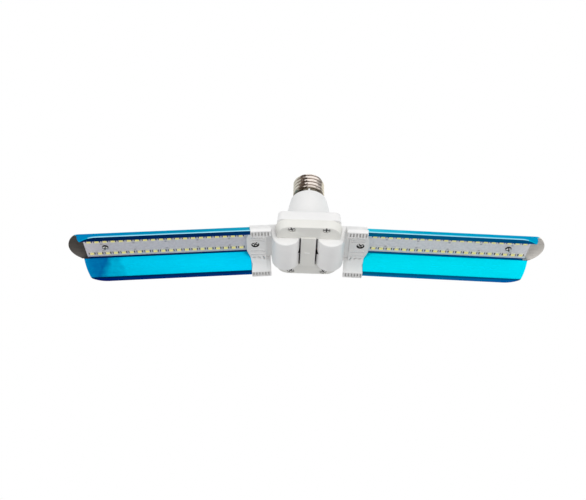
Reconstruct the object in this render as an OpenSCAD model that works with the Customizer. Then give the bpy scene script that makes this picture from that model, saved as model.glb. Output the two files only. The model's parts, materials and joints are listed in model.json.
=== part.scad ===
// Deformable garage light: two LED leaves hinged on a hub with an E27 screw cap.
// Millimetres, +Z up towards the lampholder, +Y away from the viewer.
// The origin is on the cap's axis, where the metal shell meets the plastic cone.
// The leaves stand as photographed: each droops a little from level.

/* [Screw cap] */
// Diameter over the thread crests
thread_d = 26.2; // [22:0.1:28]
// Depth of the rolled thread
thread_depth = 0.9; // [0.4:0.05:1.2]
// Thread pitch
thread_pitch = 3.63; // [3:0.01:4.2]
// Number of thread crests
thread_turns = 4; // [3:1:5]
// Height of the plain skirt below the thread
skirt_h = 5; // [4:0.1:8]
// Sheet thickness of the shell
shell_t = 0.4; // [0.25:0.05:0.6]
// Height of the shoulder above the thread
shoulder_h = 3; // [2:0.1:5]
// Diameter of the shell's mouth round the insulator
mouth_d = 15; // [12:0.1:18]
// Height of the insulator above the shell
insulator_h = 2.6; // [1.5:0.1:4]
// Diameter of the tip contact
contact_d = 9.6; // [7:0.1:11]
// Height of the tip contact above the insulator
contact_h = 1.4; // [0.8:0.1:2]
// Diameter of the crimp dot on the shell's skirt
rivet_d = 1.6; // [1:0.1:2.2]

/* [Cone] */
// Height of the cone
cone_h = 36.5; // [30:0.5:50]
// Cone diameter at its foot
cone_foot_d = 39; // [36:0.5:46]
// Cone diameter at the shell
cone_top_d = 29.6; // [29:0.1:33]
// How far the cone's side bulges past a straight line
cone_bulge = 0.85; // [0:0.05:2]
// Height of the collar inside the shell
collar_h = 4.6; // [3:0.1:6]

/* [Hub] */
// Hub width, left to right
hub_w = 52; // [48:0.5:60]
// Hub length, front to back
hub_l = 58; // [54:0.5:70]
// Corner radius of the hub in plan
hub_r = 10; // [6:0.5:12]
// Wall of the mouldings
wall = 2; // [1.4:0.1:2.4]
// Top of the slab above the hinge axes
slab_rise = 13.5; // [13.2:0.1:18]
// Corner radius of the slab, squarer than the cover below it
slab_r = 4; // [3:0.5:12]
// How far the slab's sides stand in from the cover's
slab_inset = 1.5; // [0:0.1:1.6]
// Parting plane above the hinge axes
parting_rise = 4; // [3:0.1:6]
// Underside of the two bars below the hinge axes
bar_drop = 3.8; // [3.4:0.1:6]
// Underside of the centre block below the hinge axes
block_drop = 4.8; // [4:0.1:7]
// Width of the centre block between the drums
block_w = 11.8; // [8:0.1:12]
// How far the centre block runs under each bar
block_lap = 1.1; // [0.5:0.1:2]

/* [Hinges] */
// Distance between the two hinge axes
hinge_spacing = 35; // [34:0.5:40]
// Drum diameter
drum_d = 22; // [20:0.5:22]
// Drum length
drum_l = 31; // [24:0.5:34]
// Gap between a drum's end and the bar
end_gap = 0.4; // [0.35:0.05:0.8]
// Clearance between the drum and the slab's ceiling
drum_clear = 0.5; // [0.4:0.1:1]
// Hinge pin diameter
pin_d = 4; // [3:0.1:5]
// How far each end of the pin sits in its cheek
pin_seat = 2.4; // [1.5:0.1:3]
// Friction washer diameter
washer_d = 9; // [7:0.1:12]
// Friction washer thickness
washer_t = 0.3; // [0.2:0.01:0.34]
// Height of the wire window in the drum
window_h = 4.4; // [3:0.1:6]
// Droop of the left leaf in the photographed pose, degrees
left_droop = 5.6; // [0:0.1:30]
// Droop of the right leaf in the photographed pose, degrees
right_droop = 1.3; // [0:0.1:30]

/* [Blade] */
// Sheet thickness of the blade
sheet_t = 1; // [0.8:0.1:1.5]
// Underside of the web above the hinge axis
web_rise = 9.6; // [9:0.1:10]
// Half width of the web
web_half = 14; // [13.5:0.1:16]
// Distance of the wall's foot from the blade's middle
foot_half = 22.2; // [20:0.1:25]
// Distance of the brim's edge from the blade's middle
brim_half = 27; // [25.5:0.1:30]
// Underside of the brims below the hinge axis
brim_drop = 3.9; // [3:0.1:6]
// Blade length from the hinge axis to where the walls end
wall_reach = 162; // [150:1:200]
// Radius of the rounded brim corner at the tip
tip_corner = 13; // [8:0.5:16]
// Length of the bare tongue past the walls
tongue_l = 7.4; // [5:0.1:12]

/* [LED board] */
// Thickness of the LED board
board_t = 1.2; // [0.8:0.1:1.6]
// Half width of the LED board
board_half = 11.2; // [10:0.1:13]
// Distance of the board's near end from the hinge axis
board_start = 16; // [15.5:0.1:18]
// Distance of the board's far end from the hinge axis
board_reach = 157; // [120:1:200]
// Number of LEDs in each of the two rows
led_count = 20; // [8:1:20]
// Distance between LEDs in a row
led_pitch = 6.2; // [5:0.05:6.3]
// Distance of the first LED from the hinge axis
led_start = 35; // [34:0.1:40]
// Distance of each LED row from the middle
led_row = 7.1; // [5:0.1:8.5]
// LED length along the row
led_l = 3.5; // [2:0.1:4]
// LED width
led_w = 2.8; // [2:0.1:3.5]
// LED height
led_h = 0.7; // [0.5:0.05:1.2]
// Chip resistor length
chip_l = 1.6; // [1:0.1:2.2]
// Chip resistor width
chip_w = 0.8; // [0.5:0.1:1.2]
// Chip resistor height
chip_h = 0.5; // [0.3:0.05:0.8]
// Distance of the chip resistors from the middle
chip_row = 4; // [3:0.1:4.6]
// LEDs for each pair of chip resistors
chip_step = 4; // [2:1:8]

/* [End caps] */
// Distance of the cap's inner end from the hinge axis
cap_start = 11.8; // [11.5:0.1:12.5]
// Distance of the cap's outer end from the hinge axis
cap_reach = 26.5; // [26:0.5:32]
// Wall of the saddle over the blade
saddle_t = 1; // [0.8:0.1:1.2]
// Gap round the blade inside the cap
fit_gap = 0.1; // [0.05:0.01:0.2]
// Wall that closes the cap's inner end
end_t = 3.4; // [3:0.1:3.6]
// Underside of the neck above the hinge axis
neck_rise = 1; // [0.5:0.1:4]
// Ceiling of the groove between neck and cover, above the hinge axis
groove_rise = 5.4; // [4.5:0.1:5.8]
// Half length of the groove between neck and cover
groove_half = 17.3; // [16:0.1:17.6]
// Underside of the cap's edges below the hinge axis
cap_drop = 6.5; // [6:0.1:9]
// Underside of the raised middle above the hinge axis
hump_rise = 4; // [3:0.1:5]
// Half width of the raised middle
hump_half = 15.6; // [12:0.1:16]
// Distance of the raised middle's outer edge from the hinge axis
hump_reach = 30.8; // [28:0.1:33]
// Half width of the straight part of its outer edge
nose_flat = 5; // [2:0.1:10]
// Where its outer edge meets the cap's, from the blade's middle
nose_foot = 20.5; // [16:0.1:21]
// Distance from the wall's foot to the cap's inner edge line
edge_inset = 0.7; // [0.2:0.1:1.5]
// Number of teeth slots along each edge
slot_count = 5; // [3:1:6]
// Pitch of the teeth slots
slot_pitch = 2.2; // [2:0.05:3]
// Width of a tooth slot
slot_w = 1.1; // [0.6:0.05:1.4]
// Depth of a tooth slot
slot_depth = 1.2; // [0.5:0.1:1.8]
// Height of the curved ridges
ridge_h = 0.4; // [0.2:0.05:0.8]
// Width of the curved ridges
ridge_w = 1; // [0.5:0.1:1.5]
// Radius that the ridges are bent to
ridge_r = 24; // [18:0.5:40]
// Distance of the first pair of ridges from the screw
ridge_first = 6.2; // [5:0.1:8]
// Step from one ridge to the next on the far side
ridge_step = 4.8; // [3:0.1:5]
// Length of a slit along the raised middle's edge
slit_l = 2.8; // [1.5:0.1:3.2]
// Width of a slit
slit_w = 0.8; // [0.4:0.1:1.2]
// Depth of a slit
slit_depth = 0.8; // [0.4:0.1:1.2]
// Distance from one slit to the next
slit_pitch = 3.8; // [3.4:0.1:4]
// Turn of the slit nearest the hub, degrees
slit_turn = 50; // [0:5:70]

/* [Screws] */
// Head diameter of the cover screws
screw_head_d = 5.4; // [4.5:0.1:5.6]
// Shank diameter of the screws
screw_d = 2.9; // [2:0.1:3.2]
// Head height of the screws
screw_head_h = 1.6; // [1:0.1:2]
// Distance between the left and right cover screws
screw_gap_x = 26.4; // [20:0.1:34]
// Distance between the front and back cover screws
screw_gap_y = 50.8; // [49:0.1:51]
// How deep the cover screw heads lie in their holes
screw_sink = 0.7; // [0.2:0.1:1.2]
// Height of the cover screws' shank above the parting plane
screw_bite = 5; // [3:0.1:6]
// Distance of the end cover's screw from the hinge axis
cap_screw_x = 23.9; // [21:0.1:24]
// Distance of the board screw from the hinge axis
board_screw_x = 143.5; // [130:0.1:150]
// Slack round the screw shanks
screw_clear = 0.1; // [0.05:0.01:0.2]

/* [Driver] */
// Driver board width
driver_w = 22; // [16:0.5:24]
// Driver board height
driver_h = 29; // [26:0.5:34]
// Driver board thickness
driver_t = 1.6; // [1:0.1:2]
// Front face of the driver board behind the cap's axis
driver_y = 1; // [0:0.1:3]
// Bulk capacitor diameter
bulk_d = 8; // [6:0.5:9]
// Bulk capacitor height
bulk_h = 14; // [8:0.5:16]
// Choke diameter
choke_d = 8; // [6:0.5:9]
// Choke height
choke_h = 9; // [6:0.5:10]
// Film capacitor width
film_w = 9; // [6:0.5:10]
// Film capacitor depth
film_d = 4.5; // [3:0.5:5]
// Film capacitor height
film_h = 7; // [5:0.5:8]
// Fuse resistor diameter
fuse_d = 3; // [2:0.1:3.5]
// Fuse resistor length
fuse_l = 8; // [5:0.5:9]
// Width of the flat chips on the back of the board
chip_body = 5; // [3:0.1:7]
// Thickness of the flat chips on the back of the board
chip_body_t = 1.6; // [1:0.1:2.5]
// Lead diameter over the insulation
lead_d = 1.2; // [0.8:0.1:1.3]

/* [Hidden] */
$fn = 48;
// Overlap of joined solids, running fit, and how far a cut runs past the material
eps = 0.01;
snug = 0.05;
over = 1;
thread_r = thread_d / 2;
root_r = thread_r - thread_depth;
thread_top = skirt_h + thread_turns * thread_pitch;
shoulder_rise = 0.6;
shell_h = thread_top + shoulder_h;
insulator_t = 1.4;
contact_stem = 1;
collar_r = root_r - shell_t - fit_gap;
cone_r0 = cone_foot_d / 2;
cone_r1 = cone_top_d / 2;
hinge_z = -(cone_h + slab_rise);
hinge_x = hinge_spacing / 2;
drum_r = drum_d / 2;
pin_r = pin_d / 2;
cheek_y = drum_l / 2 + end_gap;
pin_back = 0.6;
cheek_t = pin_seat + pin_back;
pocket_top = drum_r + drum_clear;
boss_wall = 0.9;
boss_r = screw_head_d / 2 + boss_wall;
screw_x = screw_gap_x / 2;
screw_y = screw_gap_y / 2;
screw_seat = -bar_drop + screw_sink + screw_head_h;
screw_room = 0.6;
// Sideways shift of a bend's outer corner for each millimetre of sheet
bend = tan(atan2(web_rise + brim_drop, foot_half - web_half) / 2);
end_slack = 0.2;
cover_start = cap_start + end_t + end_slack;
blade_start = cover_start + end_slack;
led_face = web_rise - board_t;
cap_screw_sink = 0.5;
wall_run = (foot_half - web_half) / (web_rise + brim_drop);
tongue_r = (pow(web_half, 2) + pow(tongue_l, 2)) / (2 * tongue_l);
driver_foot = hinge_z + slab_rise + snug;
part_leg = 3;
part_gap = 1.5;
lead_r = lead_d / 2;
lead_gap = 0.2;

white = [0.93, 0.93, 0.92];
nickel = [0.78, 0.75, 0.71];
steel = [0.72, 0.72, 0.72];
blue = [0.05, 0.62, 0.85];
board_grey = [0.70, 0.69, 0.73];
led_yellow = [0.90, 0.85, 0.50];
black = [0.08, 0.08, 0.08];
brass = [0.80, 0.66, 0.35];
green = [0.15, 0.42, 0.22];
red = [0.70, 0.12, 0.10];
cream = [0.85, 0.85, 0.82];

// ---- helpers ----

// Cylinder along Y, centred
module rod_y(r, l) {
    rotate([90, 0, 0])
        cylinder(r = r, h = l, center = true);
}

// Box from one corner to the opposite one
module span(a, b) {
    translate(a)
        cube(b - a);
}

// Rectangle with round corners, centred
module round_rect(w, l, r) {
    square([w - 2 * r, l], center = true);
    square([w, l - 2 * r], center = true);
    for (sx = [-1, 1])
        for (sy = [-1, 1])
            translate([sx * (w / 2 - r), sy * (l / 2 - r)])
                circle(r = r);
}

// Straight wires from point to point, with a slightly thicker ball at each joint
module wire(points, r) {
    swell = 1.05;
    for (i = [0 : len(points) - 2]) {
        d = points[i + 1] - points[i];
        translate(points[i])
            rotate([0, acos(d[2] / norm(d)), atan2(d[1], d[0])]) {
                cylinder(r = r, h = norm(d), $fn = 16);
                if (i > 0)
                    rotate([90, 0, 0])
                        sphere(r = r * swell, $fn = 16);
            }
    }
}

// Pan-head screw pointing up, its head's underside-seat at z = 0
module cross_screw(head_r, head_h, shank_r, shank_l) {
    edge = 0.5;
    cross_l = 1.2 * head_r;
    cross_w = 0.28 * head_r;
    cross_h = 0.6 * head_h;
    difference() {
        union() {
            translate([0, 0, -head_h])
                cylinder(r1 = head_r - edge, r2 = head_r, h = edge);
            translate([0, 0, edge - head_h])
                cylinder(r = head_r, h = head_h - edge);
            cylinder(r = shank_r, h = shank_l);
        }
        for (a = [0, 90])
            rotate([0, 0, a])
                translate([0, 0, -head_h])
                    cube([cross_l, cross_w, 2 * cross_h], center = true);
    }
}

// ---- screw cap ----

// Radius of the thread at a height above its start
function thread_at(z) = thread_r - thread_depth * (1 + cos(360 * z / thread_pitch)) / 2;

// Side of the shell, moved inward by an inset
function shell_side(inset, n = 8) = concat(
    [[root_r - inset, 0]],
    [for (i = [0 : n * thread_turns])
        [thread_at(i * thread_pitch / n) - inset, skirt_h + i * thread_pitch / n]],
    [[root_r - inset, thread_top + shoulder_rise]],
    [[mouth_d / 2, shell_h - inset]]
);

module screw_shell() {
    inner = shell_side(shell_t);
    color(nickel)
        rotate_extrude()
            polygon(concat(shell_side(0), [for (i = [len(inner) - 1 : -1 : 0]) inner[i]]));
}

module cap_insulator() {
    hole = contact_d / 2 - insulator_t;
    rim = mouth_d / 2 - fit_gap;
    tip = contact_d / 2 + 0.6;
    foot = shell_h - shell_t - 1.8;
    color(black)
        rotate_extrude()
            polygon([
                [hole, foot],
                [rim, foot],
                [rim, shell_h],
                [tip, shell_h + insulator_h],
                [hole, shell_h + insulator_h]
            ]);
}

module centre_contact() {
    stem = contact_d / 2 - insulator_t - snug;
    slope = 1.2;
    top = shell_h + insulator_h;
    color(brass)
        rotate_extrude()
            polygon([
                [0, top - contact_stem],
                [stem, top - contact_stem],
                [stem, top],
                [contact_d / 2, top],
                [contact_d / 2, top + contact_h / 2],
                [contact_d / 2 - slope, top + contact_h],
                [0, top + contact_h]
            ]);
}

module shell_rivet() {
    turn = 205;
    rivet_h = 0.5;
    color(steel)
        rotate([0, 0, turn])
            translate([root_r + snug, 0, rivet_d])
                rotate([0, 90, 0])
                    cylinder(r = rivet_d / 2, h = rivet_h);
}

// ---- hub ----

// Cone radius at a height fraction from its foot
function cone_at(t) = cone_r0 + (cone_r1 - cone_r0) * t + cone_bulge * 4 * t * (1 - t);

// Solid of revolution of the cone between its foot and a height, moved inward
module cone_body(inset, h) {
    n = 10;
    rotate_extrude()
        polygon(concat(
            [[0, 0]],
            [for (i = [0 : n]) [cone_at(i / n * h / cone_h) - inset, i / n * h]],
            [[0, h]]
        ));
}

module hub_outline(inset) {
    round_rect(hub_w - 2 * inset, hub_l - 2 * inset, hub_r - inset);
}

// The slab's outline is squarer than the cover's, and a little narrower
module slab_outline(inset) {
    round_rect(hub_w - 2 * slab_inset - 2 * inset, hub_l - 2 * inset, slab_r - inset);
}

module at_screws() {
    for (sx = [-1, 1])
        for (sy = [-1, 1])
            translate([sx * screw_x, sy * screw_y, 0])
                children();
}

// Room for both drums and necks, open to the sides and below
module drum_room(top) {
    for (s = [-1, 1])
        span([min(s * block_w / 2, s * hub_w), -cheek_y, -hub_w],
             [max(s * block_w / 2, s * hub_w), cheek_y, top]);
}

// Two rails that hold the driver board's edges
module board_rails() {
    rail_w = 10;
    lip = 0.5;
    for (s = [-1, 1])
        difference() {
            translate([s * (driver_w / 2 + rail_w / 2 - lip), driver_y + driver_t / 2, cone_h / 2])
                cube([rail_w, driver_t + 2 * wall, cone_h + 2 * over], center = true);
            translate([0, driver_y + driver_t / 2, cone_h / 2])
                cube([driver_w + 2 * fit_gap, driver_t + 2 * fit_gap, cone_h + 3 * over], center = true);
        }
}

// All of the hub above the parting plane, measured from the hinge axes
module upper_housing() {
    color(white)
        translate([0, 0, hinge_z])
            difference() {
                union() {
                    translate([0, 0, parting_rise])
                        linear_extrude(slab_rise - parting_rise)
                            slab_outline(0);
                    translate([0, 0, slab_rise])
                        cone_body(0, cone_h);
                    translate([0, 0, slab_rise + cone_h - eps])
                        cylinder(r = collar_r, h = collar_h + eps);
                    pin_tongues();
                }
                // front and back cells of the slab
                difference() {
                    translate([0, 0, parting_rise - eps])
                        linear_extrude(pocket_top - parting_rise + eps)
                            slab_outline(wall);
                    translate([0, 0, parting_rise - over])
                        linear_extrude(pocket_top)
                            square([hub_w, 2 * (cheek_y + cheek_t)], center = true);
                    translate([0, 0, parting_rise - over])
                        at_screws()
                            cylinder(r = boss_r, h = slab_rise);
                }
                // room for the drums, and the wire shaft between them
                drum_room(pocket_top);
                span([wall - block_w / 2, -cheek_y, parting_rise - over],
                     [block_w / 2 - wall, cheek_y, slab_rise + over]);
                at_screws()
                    translate([0, 0, parting_rise - eps])
                        cylinder(r = screw_d / 2 + snug, h = screw_bite + screw_room);
                // inside of the cone and collar
                translate([0, 0, slab_rise])
                    difference() {
                        cone_body(wall, cone_h - wall);
                        board_rails();
                    }
                translate([0, 0, slab_rise + cone_h - wall - eps])
                    cylinder(r = collar_r - wall, h = wall + collar_h + over);
            }
}

// Tongues that hold the hinge pins down in the cover's slots
module pin_tongues() {
    foot = pin_r + fit_gap;
    for (sx = [-1, 1])
        for (sy = [-1, 1])
            translate([sx * hinge_x, sy * (cheek_y + pin_seat / 2), (foot + parting_rise + over) / 2])
                cube([pin_d - fit_gap, pin_seat - fit_gap, parting_rise + over - foot], center = true);
}

// Bars, cheeks and centre block below the parting plane
module hinge_cover() {
    block_end = cheek_y + block_lap;
    color(white)
        translate([0, 0, hinge_z])
            difference() {
                union() {
                    difference() {
                        translate([0, 0, -bar_drop])
                            linear_extrude(parting_rise + bar_drop)
                                hub_outline(0);
                        drum_room(hub_w);
                        // inside of the two bars
                        difference() {
                            translate([0, 0, wall - bar_drop])
                                linear_extrude(hub_l)
                                    hub_outline(wall);
                            translate([0, 0, -bar_drop])
                                linear_extrude(hub_l)
                                    square([hub_w, 2 * (cheek_y + cheek_t)], center = true);
                            at_screws()
                                translate([0, 0, -bar_drop])
                                    cylinder(r = boss_r, h = hub_l);
                        }
                    }
                    span([-block_w / 2, -block_end, -block_drop],
                         [block_w / 2, block_end, wall - bar_drop]);
                }
                // wire shaft in the centre block, with a window to each drum
                span([wall - block_w / 2, -cheek_y, wall - block_drop],
                     [block_w / 2 - wall, cheek_y, parting_rise + over]);
                span([-block_w, -window_h / 2, -window_h / 2],
                     [block_w, window_h / 2, parting_rise + over]);
                // seats of the hinge pins, open above
                for (sx = [-1, 1])
                    for (sy = [-1, 1])
                        translate([sx * hinge_x, sy * (cheek_y + pin_seat / 2), 0]) {
                            rod_y(pin_r + snug, pin_seat + 2 * snug);
                            translate([0, 0, (parting_rise + over) / 2])
                                cube([pin_d + 2 * snug, pin_seat + 2 * snug, parting_rise + over],
                                     center = true);
                        }
                // sunk seats and holes of the screws
                at_screws()
                    translate([0, 0, -bar_drop - over]) {
                        cylinder(r = screw_head_d / 2 + 2 * screw_clear, h = screw_seat + bar_drop + over);
                        cylinder(r = screw_d / 2 + screw_clear, h = parting_rise + bar_drop + 3 * over);
                    }
            }
}

module cover_screws() {
    color(steel)
        translate([0, 0, hinge_z])
            at_screws()
                translate([0, 0, screw_seat])
                    cross_screw(screw_head_d / 2, screw_head_h, screw_d / 2,
                                parting_rise - screw_seat + screw_bite);
}

module hinge_pin(side) {
    color(steel)
        translate([side * hinge_x, 0, hinge_z])
            rod_y(pin_r, 2 * (cheek_y + pin_seat));
}

// ---- driver in the cone ----

module driver_board() {
    color(green)
        translate([-driver_w / 2, driver_y, driver_foot])
            cube([driver_w, driver_t, driver_h]);
}

module bulk_capacitor() {
    color([0.13, 0.13, 0.16])
        translate([-driver_w / 4, driver_y - bulk_d / 2 - snug, driver_foot + part_leg])
            cylinder(r = bulk_d / 2, h = bulk_h);
}

module choke() {
    flange = 1.2;
    rim = 0.6;
    color([0.55, 0.30, 0.12])
        translate([driver_w / 4, driver_y - choke_d / 2 - snug, driver_foot + part_leg]) {
            cylinder(r = choke_d / 2, h = flange);
            cylinder(r = choke_d / 2 - rim, h = choke_h);
            translate([0, 0, choke_h - flange])
                cylinder(r = choke_d / 2, h = flange);
        }
}

module film_capacitor() {
    color([0.72, 0.20, 0.12])
        translate([driver_w / 4 - film_w / 2, driver_y - film_d - snug,
                   driver_foot + choke_h + part_leg + part_gap])
            cube([film_w, film_d, film_h]);
}

module fuse_resistor() {
    color([0.45, 0.60, 0.62])
        translate([-driver_w / 4, driver_y - fuse_d / 2 - snug, driver_foot + bulk_h + part_leg + part_gap])
            cylinder(r = fuse_d / 2, h = fuse_l);
}

// Flat chip on the back of the driver board
module back_chip(x, z, w) {
    translate([x - w / 2, driver_y + driver_t, driver_foot + z])
        cube([w, chip_body_t, w]);
}

module bridge_rectifier() {
    color(black)
        back_chip(-4.5, 20, chip_body);
}

module driver_chip() {
    color([0.16, 0.16, 0.17])
        back_chip(3.5, 9, chip_body);
}

// From the board's top to the shell and to the tip contact
module cap_leads() {
    start = driver_foot + driver_h - part_leg;
    front = driver_y - lead_r - snug;
    above_collar = collar_h + 0.8;
    color(red)
        wire([
            [driver_w / 4, front, start],
            [driver_w / 4, front, above_collar],
            [root_r - shell_t - lead_r - snug, front - 1, above_collar + lead_d]
        ], lead_r);
    color(cream)
        wire([
            [-driver_w / 8, front, start],
            [-driver_w / 8, front, thread_top - thread_pitch / 2],
            [0, 0, shell_h + insulator_h - contact_stem - lead_r - fit_gap]
        ], lead_r);
}

// From the board's foot down the wire shaft to each drum's window
module supply_leads() {
    front = driver_y - lead_r - snug;
    for (s = [-1, 1])
        color(s < 0 ? red : cream)
            wire([
                [s * 2 * lead_d, front, driver_foot + 2],
                [s * 2 * lead_d, front, hinge_z + lead_d],
                [s * (block_w / 2 - lead_gap), 0, hinge_z + lead_r]
            ], lead_r);
}

// ---- arms, drawn to the right of their hinge axis ----

module arm(side) {
    translate([side * hinge_x, 0, hinge_z])
        mirror([side < 0 ? 1 : 0, 0, 0])
            rotate([0, side < 0 ? left_droop : right_droop, 0])
                children();
}

// Half of the hat section, a distance above the sheet's underside
function hat_half(up) = [
    [web_half + up * bend, web_rise + up],
    [foot_half + up * bend, up - brim_drop]
];

// Mirror a half outline to the other side, in reverse order
function flip(pts) = [for (i = [len(pts) - 1 : -1 : 0]) [-pts[i][0], pts[i][1]]];

// Sweep an outline in the arm's cross-section from one distance to another
module sweep_x(from, to) {
    translate([from, 0, 0])
        rotate([90, 0, 90])
            linear_extrude(to - from)
                children();
}

module blade_section() {
    upper = concat(hat_half(sheet_t), [[brim_half, sheet_t - brim_drop]]);
    lower = concat(hat_half(0), [[brim_half, -brim_drop]]);
    polygon(concat(flip(upper), upper, [for (i = [2 : -1 : 0]) lower[i]],
                   [for (i = [0 : 2]) [-lower[i][0], lower[i][1]]]));
}

// Blade seen from above: square with two round corners, and the tongue
module blade_plan() {
    difference() {
        translate([blade_start, -brim_half])
            square([wall_reach - blade_start, 2 * brim_half]);
        for (s = [-1, 1])
            difference() {
                translate([wall_reach - tip_corner, s > 0 ? brim_half - tip_corner : -brim_half])
                    square([tip_corner, tip_corner]);
                translate([wall_reach - tip_corner, s * (brim_half - tip_corner)])
                    circle(r = tip_corner);
            }
    }
    intersection() {
        translate([wall_reach + tongue_l - tongue_r, 0])
            circle(r = tongue_r);
        translate([wall_reach - over, -web_half])
            square([tongue_l + 2 * over, 2 * web_half]);
    }
}

module heat_sink() {
    color(blue)
        difference() {
            intersection() {
                sweep_x(blade_start, wall_reach + tongue_l + over)
                    blade_section();
                translate([0, 0, -brim_drop - over])
                    linear_extrude(web_rise + brim_drop + sheet_t + 2 * over)
                        blade_plan();
            }
            screw_hole(board_screw_x);
            screw_hole(cap_screw_x);
        }
}

// Hole through web and board
module screw_hole(x) {
    translate([x, 0, led_face - over])
        cylinder(r = screw_d / 2 + screw_clear, h = board_t + sheet_t + 2 * over);
}

module led_board() {
    color(board_grey)
        difference() {
            span([board_start, -board_half, led_face], [board_reach, board_half, web_rise]);
            screw_hole(board_screw_x);
            screw_hole(cap_screw_x);
        }
}

module leds() {
    color(led_yellow)
        for (i = [0 : led_count - 1])
            for (s = [-1, 1])
                translate([led_start + i * led_pitch - led_l / 2, s * led_row - led_w / 2,
                           led_face - led_h])
                    cube([led_l, led_w, led_h]);
}

module resistors() {
    color(black)
        for (i = [1 : chip_step : led_count - 1])
            for (s = [-1, 1])
                translate([led_start + (i + 0.5) * led_pitch - chip_l / 2, s * chip_row - chip_w / 2,
                           led_face - chip_h])
                    cube([chip_l, chip_w, chip_h]);
}

module board_screw() {
    color(steel)
        translate([board_screw_x, 0, led_face])
            cross_screw(screw_head_d / 2, screw_head_h, screw_d / 2, board_t + sheet_t + over);
}

module cover_screw() {
    seat = hump_rise + cap_screw_sink + screw_head_h;
    color(steel)
        translate([cap_screw_x, 0, seat])
            cross_screw(screw_head_d / 2, screw_head_h, screw_d / 2, web_rise + sheet_t - seat);
}

// Lower edge of an end cap in cross-section, with its middle at a height
function cap_under(mid) = [
    [brim_half + fit_gap + saddle_t, -cap_drop],
    [foot_half - edge_inset, -cap_drop],
    [hump_half, mid]
];

module saddle_section() {
    up = sheet_t + fit_gap + saddle_t;
    in = sheet_t + fit_gap;
    edge = brim_half + fit_gap;
    outer = concat(hat_half(up), [[edge + saddle_t, up - brim_drop], [edge + saddle_t, -cap_drop]]);
    inner = concat([[edge, -cap_drop], [edge, in - brim_drop]],
                   [hat_half(in)[1], hat_half(in)[0]]);
    half = concat(outer, inner);
    polygon(concat(half, flip(half)));
}

module end_section() {
    up = sheet_t + fit_gap + saddle_t;
    edge = brim_half + fit_gap + saddle_t;
    half = concat(hat_half(up), [[edge, up - brim_drop]], cap_under(hump_rise));
    polygon(concat(half, flip(half)));
}

// Drum, neck and saddle
module knuckle() {
    neck_proud = 0.3;
    neck_reach = drum_r + neck_proud;
    color(white)
        difference() {
            union() {
                rod_y(drum_r, drum_l);
                span([0, -drum_l / 2, neck_rise], [neck_reach, drum_l / 2, drum_r]);
                span([0, -drum_l / 2, groove_rise], [cap_start + eps, drum_l / 2, drum_r]);
                sweep_x(cap_start, cap_start + end_t)
                    end_section();
                sweep_x(cap_start + end_t - eps, cap_reach)
                    saddle_section();
            }
            // bore of the hinge pin, and the wire room round its tube
            rod_y(pin_r + snug, drum_l + over);
            difference() {
                rod_y(drum_r - wall, drum_l - 2 * wall - over);
                rod_y(pin_r + wall, drum_l);
            }
            // window towards the hub, and the wire way through the neck
            span([-drum_r - over, -window_h / 2, -window_h / 2],
                 [-pin_r - wall, window_h / 2, window_h / 2]);
            span([pin_r + wall, -window_h / 2, led_face - lead_d - over],
                 [cap_start + end_t + over, window_h / 2, led_face + lead_r]);
            // groove between neck and cover
            span([neck_reach, -groove_half, -cap_drop - over],
                 [cap_start + end_t + over, groove_half, groove_rise]);
        }
}

// Cover seen from above: its raised middle reaches out past the cap's edge
module cover_plan() {
    side = brim_half + over;
    polygon([
        [cover_start, -side], [cap_reach, -side], [cap_reach, -nose_foot], [hump_reach, -nose_flat],
        [hump_reach, nose_flat], [cap_reach, nose_foot], [cap_reach, side], [cover_start, side]
    ]);
}

// Cover under the blade's end, with its raised middle and toothed edges
module end_cover() {
    wire_room = 4;
    wire_floor = 0.5;
    first_slot = 1.1;
    tooth_land = 0.6;
    rise = led_face - fit_gap;
    shoulder = web_half + (web_rise - rise) * wall_run - 2 * fit_gap;
    half = [
        [shoulder, rise],
        [foot_half - fit_gap, -brim_drop - fit_gap],
        [brim_half, -brim_drop - fit_gap],
        [brim_half, -cap_drop],
        [foot_half - edge_inset, -cap_drop],
        [hump_half, hump_rise]
    ];
    color(white)
        difference() {
            union() {
                intersection() {
                    sweep_x(cover_start, hump_reach)
                        polygon(concat(half, flip(half)));
                    translate([0, 0, -cap_drop - over])
                        linear_extrude(cap_drop + web_rise + over)
                            cover_plan();
                }
                ridges();
            }
            // room for the wires under the board
            span([0, -wire_room, rise - lead_d - wire_floor],
                 [board_start + wire_room, wire_room, web_rise]);
            // sunk seat and hole of the screw
            translate([cap_screw_x, 0, 0]) {
                cylinder(r = screw_head_d / 2 + 2 * screw_clear,
                         h = hump_rise + cap_screw_sink + screw_head_h);
                cylinder(r = screw_d / 2 + screw_clear, h = web_rise);
            }
            // slits along the raised middle's edges
            for (i = [0 : 2])
                for (s = [-1, 1])
                    translate([cap_screw_x + over - i * slit_pitch, s * hump_half, hump_rise])
                        rotate([0, 0, -s * i * slit_turn / 2])
                            cube([slit_l, slit_w, 2 * slit_depth], center = true);
            // slots between the teeth
            for (i = [0 : slot_count - 1])
                for (s = [-1, 1])
                    translate([cover_start + first_slot + i * slot_pitch, s * (foot_half + brim_half) / 2,
                               -cap_drop])
                        cube([slot_w, brim_half - foot_half - tooth_land, 2 * slot_depth], center = true);
        }
}

// Curved ridges on both sides of the screw, their ends bent away from the viewer
module ridges() {
    intersection() {
        for (y = [-ridge_first - ridge_step / 2, -ridge_first, ridge_first, ridge_first + ridge_step])
            translate([cap_screw_x, y + ridge_r, hump_rise - ridge_h])
                difference() {
                    cylinder(r = ridge_r, h = 2 * ridge_h);
                    translate([0, 0, -over])
                        cylinder(r = ridge_r - ridge_w, h = 2 * ridge_h + 2 * over);
                }
        span([cover_start + over, -hump_half, 0], [cap_reach, hump_half, web_rise]);
    }
}

module washers() {
    color(steel)
        for (s = [-1, 1])
            translate([0, s * (drum_l / 2 + end_gap / 2), 0])
                difference() {
                    rod_y(washer_d / 2, washer_t);
                    rod_y(pin_r + snug, washer_t + 1);
                }
}

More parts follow.
